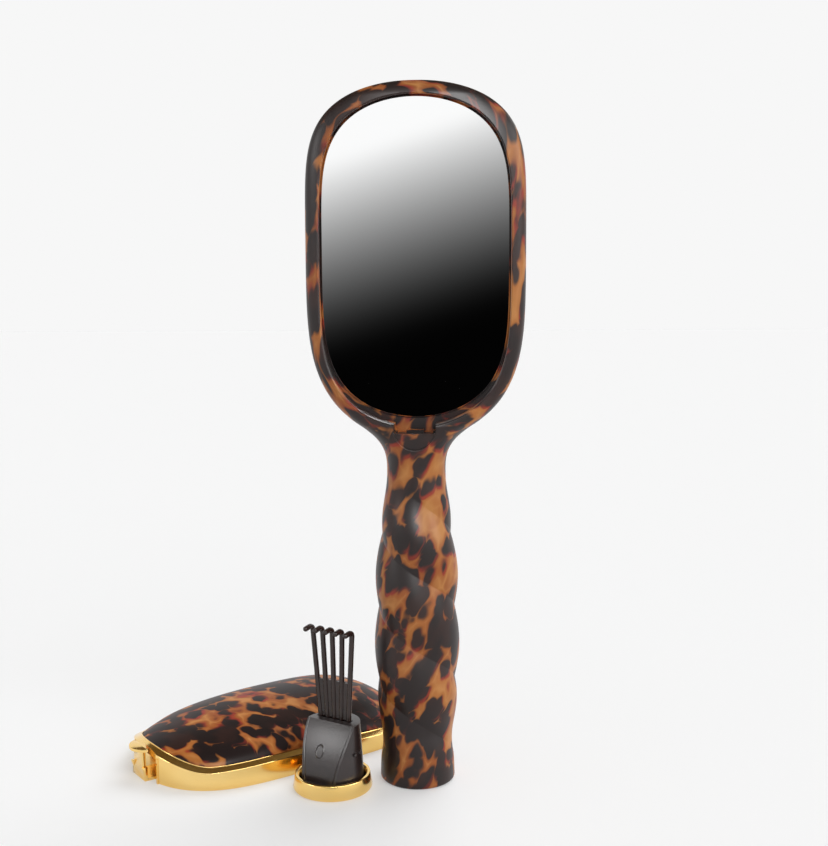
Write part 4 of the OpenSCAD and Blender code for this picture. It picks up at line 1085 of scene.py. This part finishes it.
def tine(place):
    foot_z, r = PLUG_TOP_Z - TINE_ROOT, TINE_T / 2
    lean = place * FAN + RAKE_LEAN
    low_x = place * TINE_PITCH - lean * TINE_ROOT + RAKE_ASIDE
    rise = RAKE_TOP_Z - r - TINE_BEND_R - foot_z
    corner = np.array([low_x + lean * rise, TINE_BACK, foot_z + rise])
    points, ways, radii = [(low_x, TINE_BACK, foot_z)], [(lean, 0, 1)], [r]
    for a in np.radians(np.linspace(0, 90 + HOOK_TILT, 11)):
        points.append(corner + TINE_BEND_R * np.array([lean * math.sin(a), math.cos(a) - 1, math.sin(a)]))
        ways.append((lean * math.cos(a), -math.sin(a), math.cos(a)))
        radii.append(r)
    bent, tilt = points[-1], math.radians(HOOK_TILT)
    way = np.array([0, -math.cos(tilt), -math.sin(tilt)])
    for share, shrink in ((0.5, 1), (0.82, 1.0), (0.92, 0.92), (0.975, 0.75), (1.0, 0.45)):
        points.append(bent + way * (HOOK_LEN - TINE_BEND_R - r) * share)
        ways.append(way)
        radii.append(r * shrink)
    return swept_bar("tine", points, ways, radii)


# %% Rake
WEB_DIP, WEB_HALF_T = 0.9, 0.3
FAN = (TINE_TOP_PITCH - TINE_PITCH) / (RAKE_TOP_Z - PLUG_TOP_Z)


def web(left):
    """The thin web between the tine at a place and the next, with a hollow top edge."""
    low_z, top_z = PLUG_TOP_Z - 1, PLUG_TOP_Z + WEB_H

    def at(place, z):
        return place * TINE_PITCH + RAKE_ASIDE + (place * FAN + RAKE_LEAN) * (z - PLUG_TOP_Z)

    line = [(at(left, low_z), low_z), (at(left + 1, low_z), low_z)]
    for t in np.arange(9) / 8:
        x = at(left + 1, top_z) * (1 - t) + at(left, top_z) * t
        line.append((x, top_z - WEB_DIP * math.sin(math.pi * t)))
    return prism("web", line, 1, TINE_BACK - WEB_HALF_T, TINE_BACK + WEB_HALF_T)


tine_places = np.arange(TINES) - (TINES - 1) / 2
half_root, half_deep = (TINES - 1) * TINE_PITCH / 2 + TINE_T / 2 + 0.4, TINE_T / 2 + 0.2
root_x = (RAKE_ASIDE - half_root, RAKE_ASIDE + half_root)
root_y = (TINE_BACK - half_deep, TINE_BACK + half_deep)
hook_rake = block("hook_rake", root_x, root_y, (PLUG_TOP_Z - 7, PLUG_TOP_Z))
bars = [tine(place) for place in tine_places] + [web(place) for place in tine_places[:-1]]
carve(hook_rake, bars, operation="UNION", crisp=40)
dress(hook_rake, "tool", rake_plastic, "cleaning_rake")

# %% [markdown]
# ## Light and background
# A pale sweep carries the brush. The world is an even grey and two wide suns light the brush from the back
# and the front. Suns give every place on the floor the same light, so a little glow in the floor's own
# colour lifts it exactly to the tone of the paper behind it, and only the shadows stay darker. Three more
# suns stand for soft panels: they add only shine to glossy surfaces, and light no plain ones.

# %% World and lamps
PAPER = from_bytes(247)[0]
WORLD_LEVEL = 0.42
LAMPS = [  # name, way to the lamp, strength, spread in degrees, and whether it adds only shine
    ("back_lamp", (0.35, 0.55, 0.76), 1.5, 50, False),
    ("front_lamp", (0.55, -0.62, 0.56), 0.95, 45, False),
    ("front_panel", (0.16, -0.84, 0.50), 2.9, 18, True),
    ("left_panel", (-0.83, -0.42, 0.40), 0.6, 20, True),
    ("right_panel", (0.90, -0.25, 0.35), 1.0, 30, True),
]


def seen_or_mirrored(tree):
    """1 for rays of the camera, and for those that glossy or clear surfaces send on."""
    path = add_node(tree, "LightPath")
    kinds = ("Is Camera Ray", "Is Glossy Ray", "Is Transmission Ray")
    seen, glossy, clear = (Flow(tree, path.outputs[kind]) for kind in kinds)
    return (seen + glossy + clear).math("MINIMUM", 1.0)


world = bpy.data.worlds.new("studio")
bpy.context.scene.world = world
world.use_nodes = True
tree = world.node_tree
plain = tree.nodes["Background"]
plain.inputs["Color"].default_value = (1, 1, 1, 1)
plain.inputs["Strength"].default_value = WORLD_LEVEL
paper = flow(tree, "Background", (PAPER,) * 3, 1.0)
blend = flow(tree, "MixShader", seen_or_mirrored(tree), Flow(tree, plain.outputs[0]), paper)
feed(tree.nodes["World Output"].inputs["Surface"], blend)

floor_light = WORLD_LEVEL
for name, way, strength, spread, only_shine in LAMPS:
    data = bpy.data.lights.new(name, "SUN")
    data.energy = strength
    data.angle = math.radians(spread)
    lamp = bpy.data.objects.new(name, data)
    lamp.rotation_euler = Vector(way).to_track_quat("Z", "Y").to_euler()
    bpy.context.scene.collection.objects.link(lamp)
    if only_shine:
        lamp.visible_diffuse = False
        data.cycles.max_bounces = 0
    else:
        floor_light += strength * Vector(way).normalized().z / math.pi
print(f"light on the floor: {floor_light:.3f}")

# %% Floor
FLOOR_SHADE, FLOOR_HALF, FLOOR_Z = 0.60, 6000, -0.02


def stage_sheet(name, low, high, material, only_mirrored):
    """A sheet between two corners that share one measure. Where asked, only reflections see it."""
    corners = [low, (high[0], low[1], low[2]), high, (low[0], high[1], high[2])]
    sheet = add_piece(name, corners, [(0, 1, 2, 3)])
    sheet.data.materials.append(material)
    if only_mirrored:
        sheet.visible_camera = False
        sheet.visible_diffuse = False
        sheet.visible_shadow = False
        sheet.visible_transmission = False
    print(name, "from", low, "to", high)


floor_material, tree, shader = start_finish(
    "paper_sweep", Base_Color=(*(FLOOR_SHADE / floor_light,) * 3, 1), Roughness=1.0, Specular_IOR_Level=0.0
)
shaded = Flow(tree, shader.outputs[0])
glow = flow(tree, "Emission", (1, 1, 1), PAPER - FLOOR_SHADE)
lifted = flow(tree, "AddShader", shaded, glow)
blend = flow(tree, "MixShader", seen_or_mirrored(tree), shaded, lifted)
feed(tree.nodes["Material Output"].inputs["Surface"], blend)
floor_low, floor_high = (-FLOOR_HALF, -FLOOR_HALF, FLOOR_Z), (FLOOR_HALF, FLOOR_HALF, FLOOR_Z)
stage_sheet("floor", floor_low, floor_high, floor_material, only_mirrored=False)

# %% [markdown]
# ## A card for the mirror and a flag for the gold
# The glass shows a slanted fade from white at its top to black at its foot. It mirrors a card that stands a
# metre in front of the brush. A dark flag overhead gives the ledge of the gold rim its brown band. Only
# reflections see the card and the flag, so they light nothing and hide nothing.

# %% Gradient card
CARD_LOW, CARD_HIGH, CARD_BLACK_Z = (-500.0, -1000.0, 0.0), (400.0, -1000.0, 800.0), 153.6
TONE_PER_MM_UP, TONE_PER_MM_LEFT = 1.0916 / 255, 0.35 / 255
TOP_TONE, SOFT_TOP, SOFT_FOOT = 1.0, 0.08, 0.2
card_material, tree, shader = start_finish("gradient_card")
x, y, z = parts_of(place_coordinates(tree))
tone = z * (TONE_PER_MM_UP / MM) - x * (TONE_PER_MM_LEFT / MM) - CARD_BLACK_Z * TONE_PER_MM_UP
tone = tone.math("SMOOTH_MAX", 0.0, SOFT_FOOT).math("SMOOTH_MIN", TOP_TONE, SOFT_TOP)
glow = flow(tree, "Emission", (1, 1, 1), ((tone + 0.055) / 1.055) ** 2.4)
feed(tree.nodes["Material Output"].inputs["Surface"], glow)
stage_sheet("gradient_card", CARD_LOW, CARD_HIGH, card_material, only_mirrored=True)

# %% Dark flag overhead
FLAG_LOW, FLAG_HIGH = (-700.0, -420.0, 700.0), (500.0, 1000.0, 700.0)
FLAG_DEEP, FLAG_PALE = (0.17, 0.12, 0.06), (0.22, 0.155, 0.08)
flag_material, tree, shader = start_finish("dark_flag", Roughness=1.0, Specular_IOR_Level=0.0)
shade = noise(place_coordinates(tree), per_metre=2, detail=1)
feed(shader.inputs["Base Color"], ramp(shade, (0.3, FLAG_DEEP), (0.7, FLAG_PALE)))
stage_sheet("dark_flag", FLAG_LOW, FLAG_HIGH, flag_material, only_mirrored=True)

# %% Colour management
bpy.context.scene.view_settings.view_transform = "Standard"
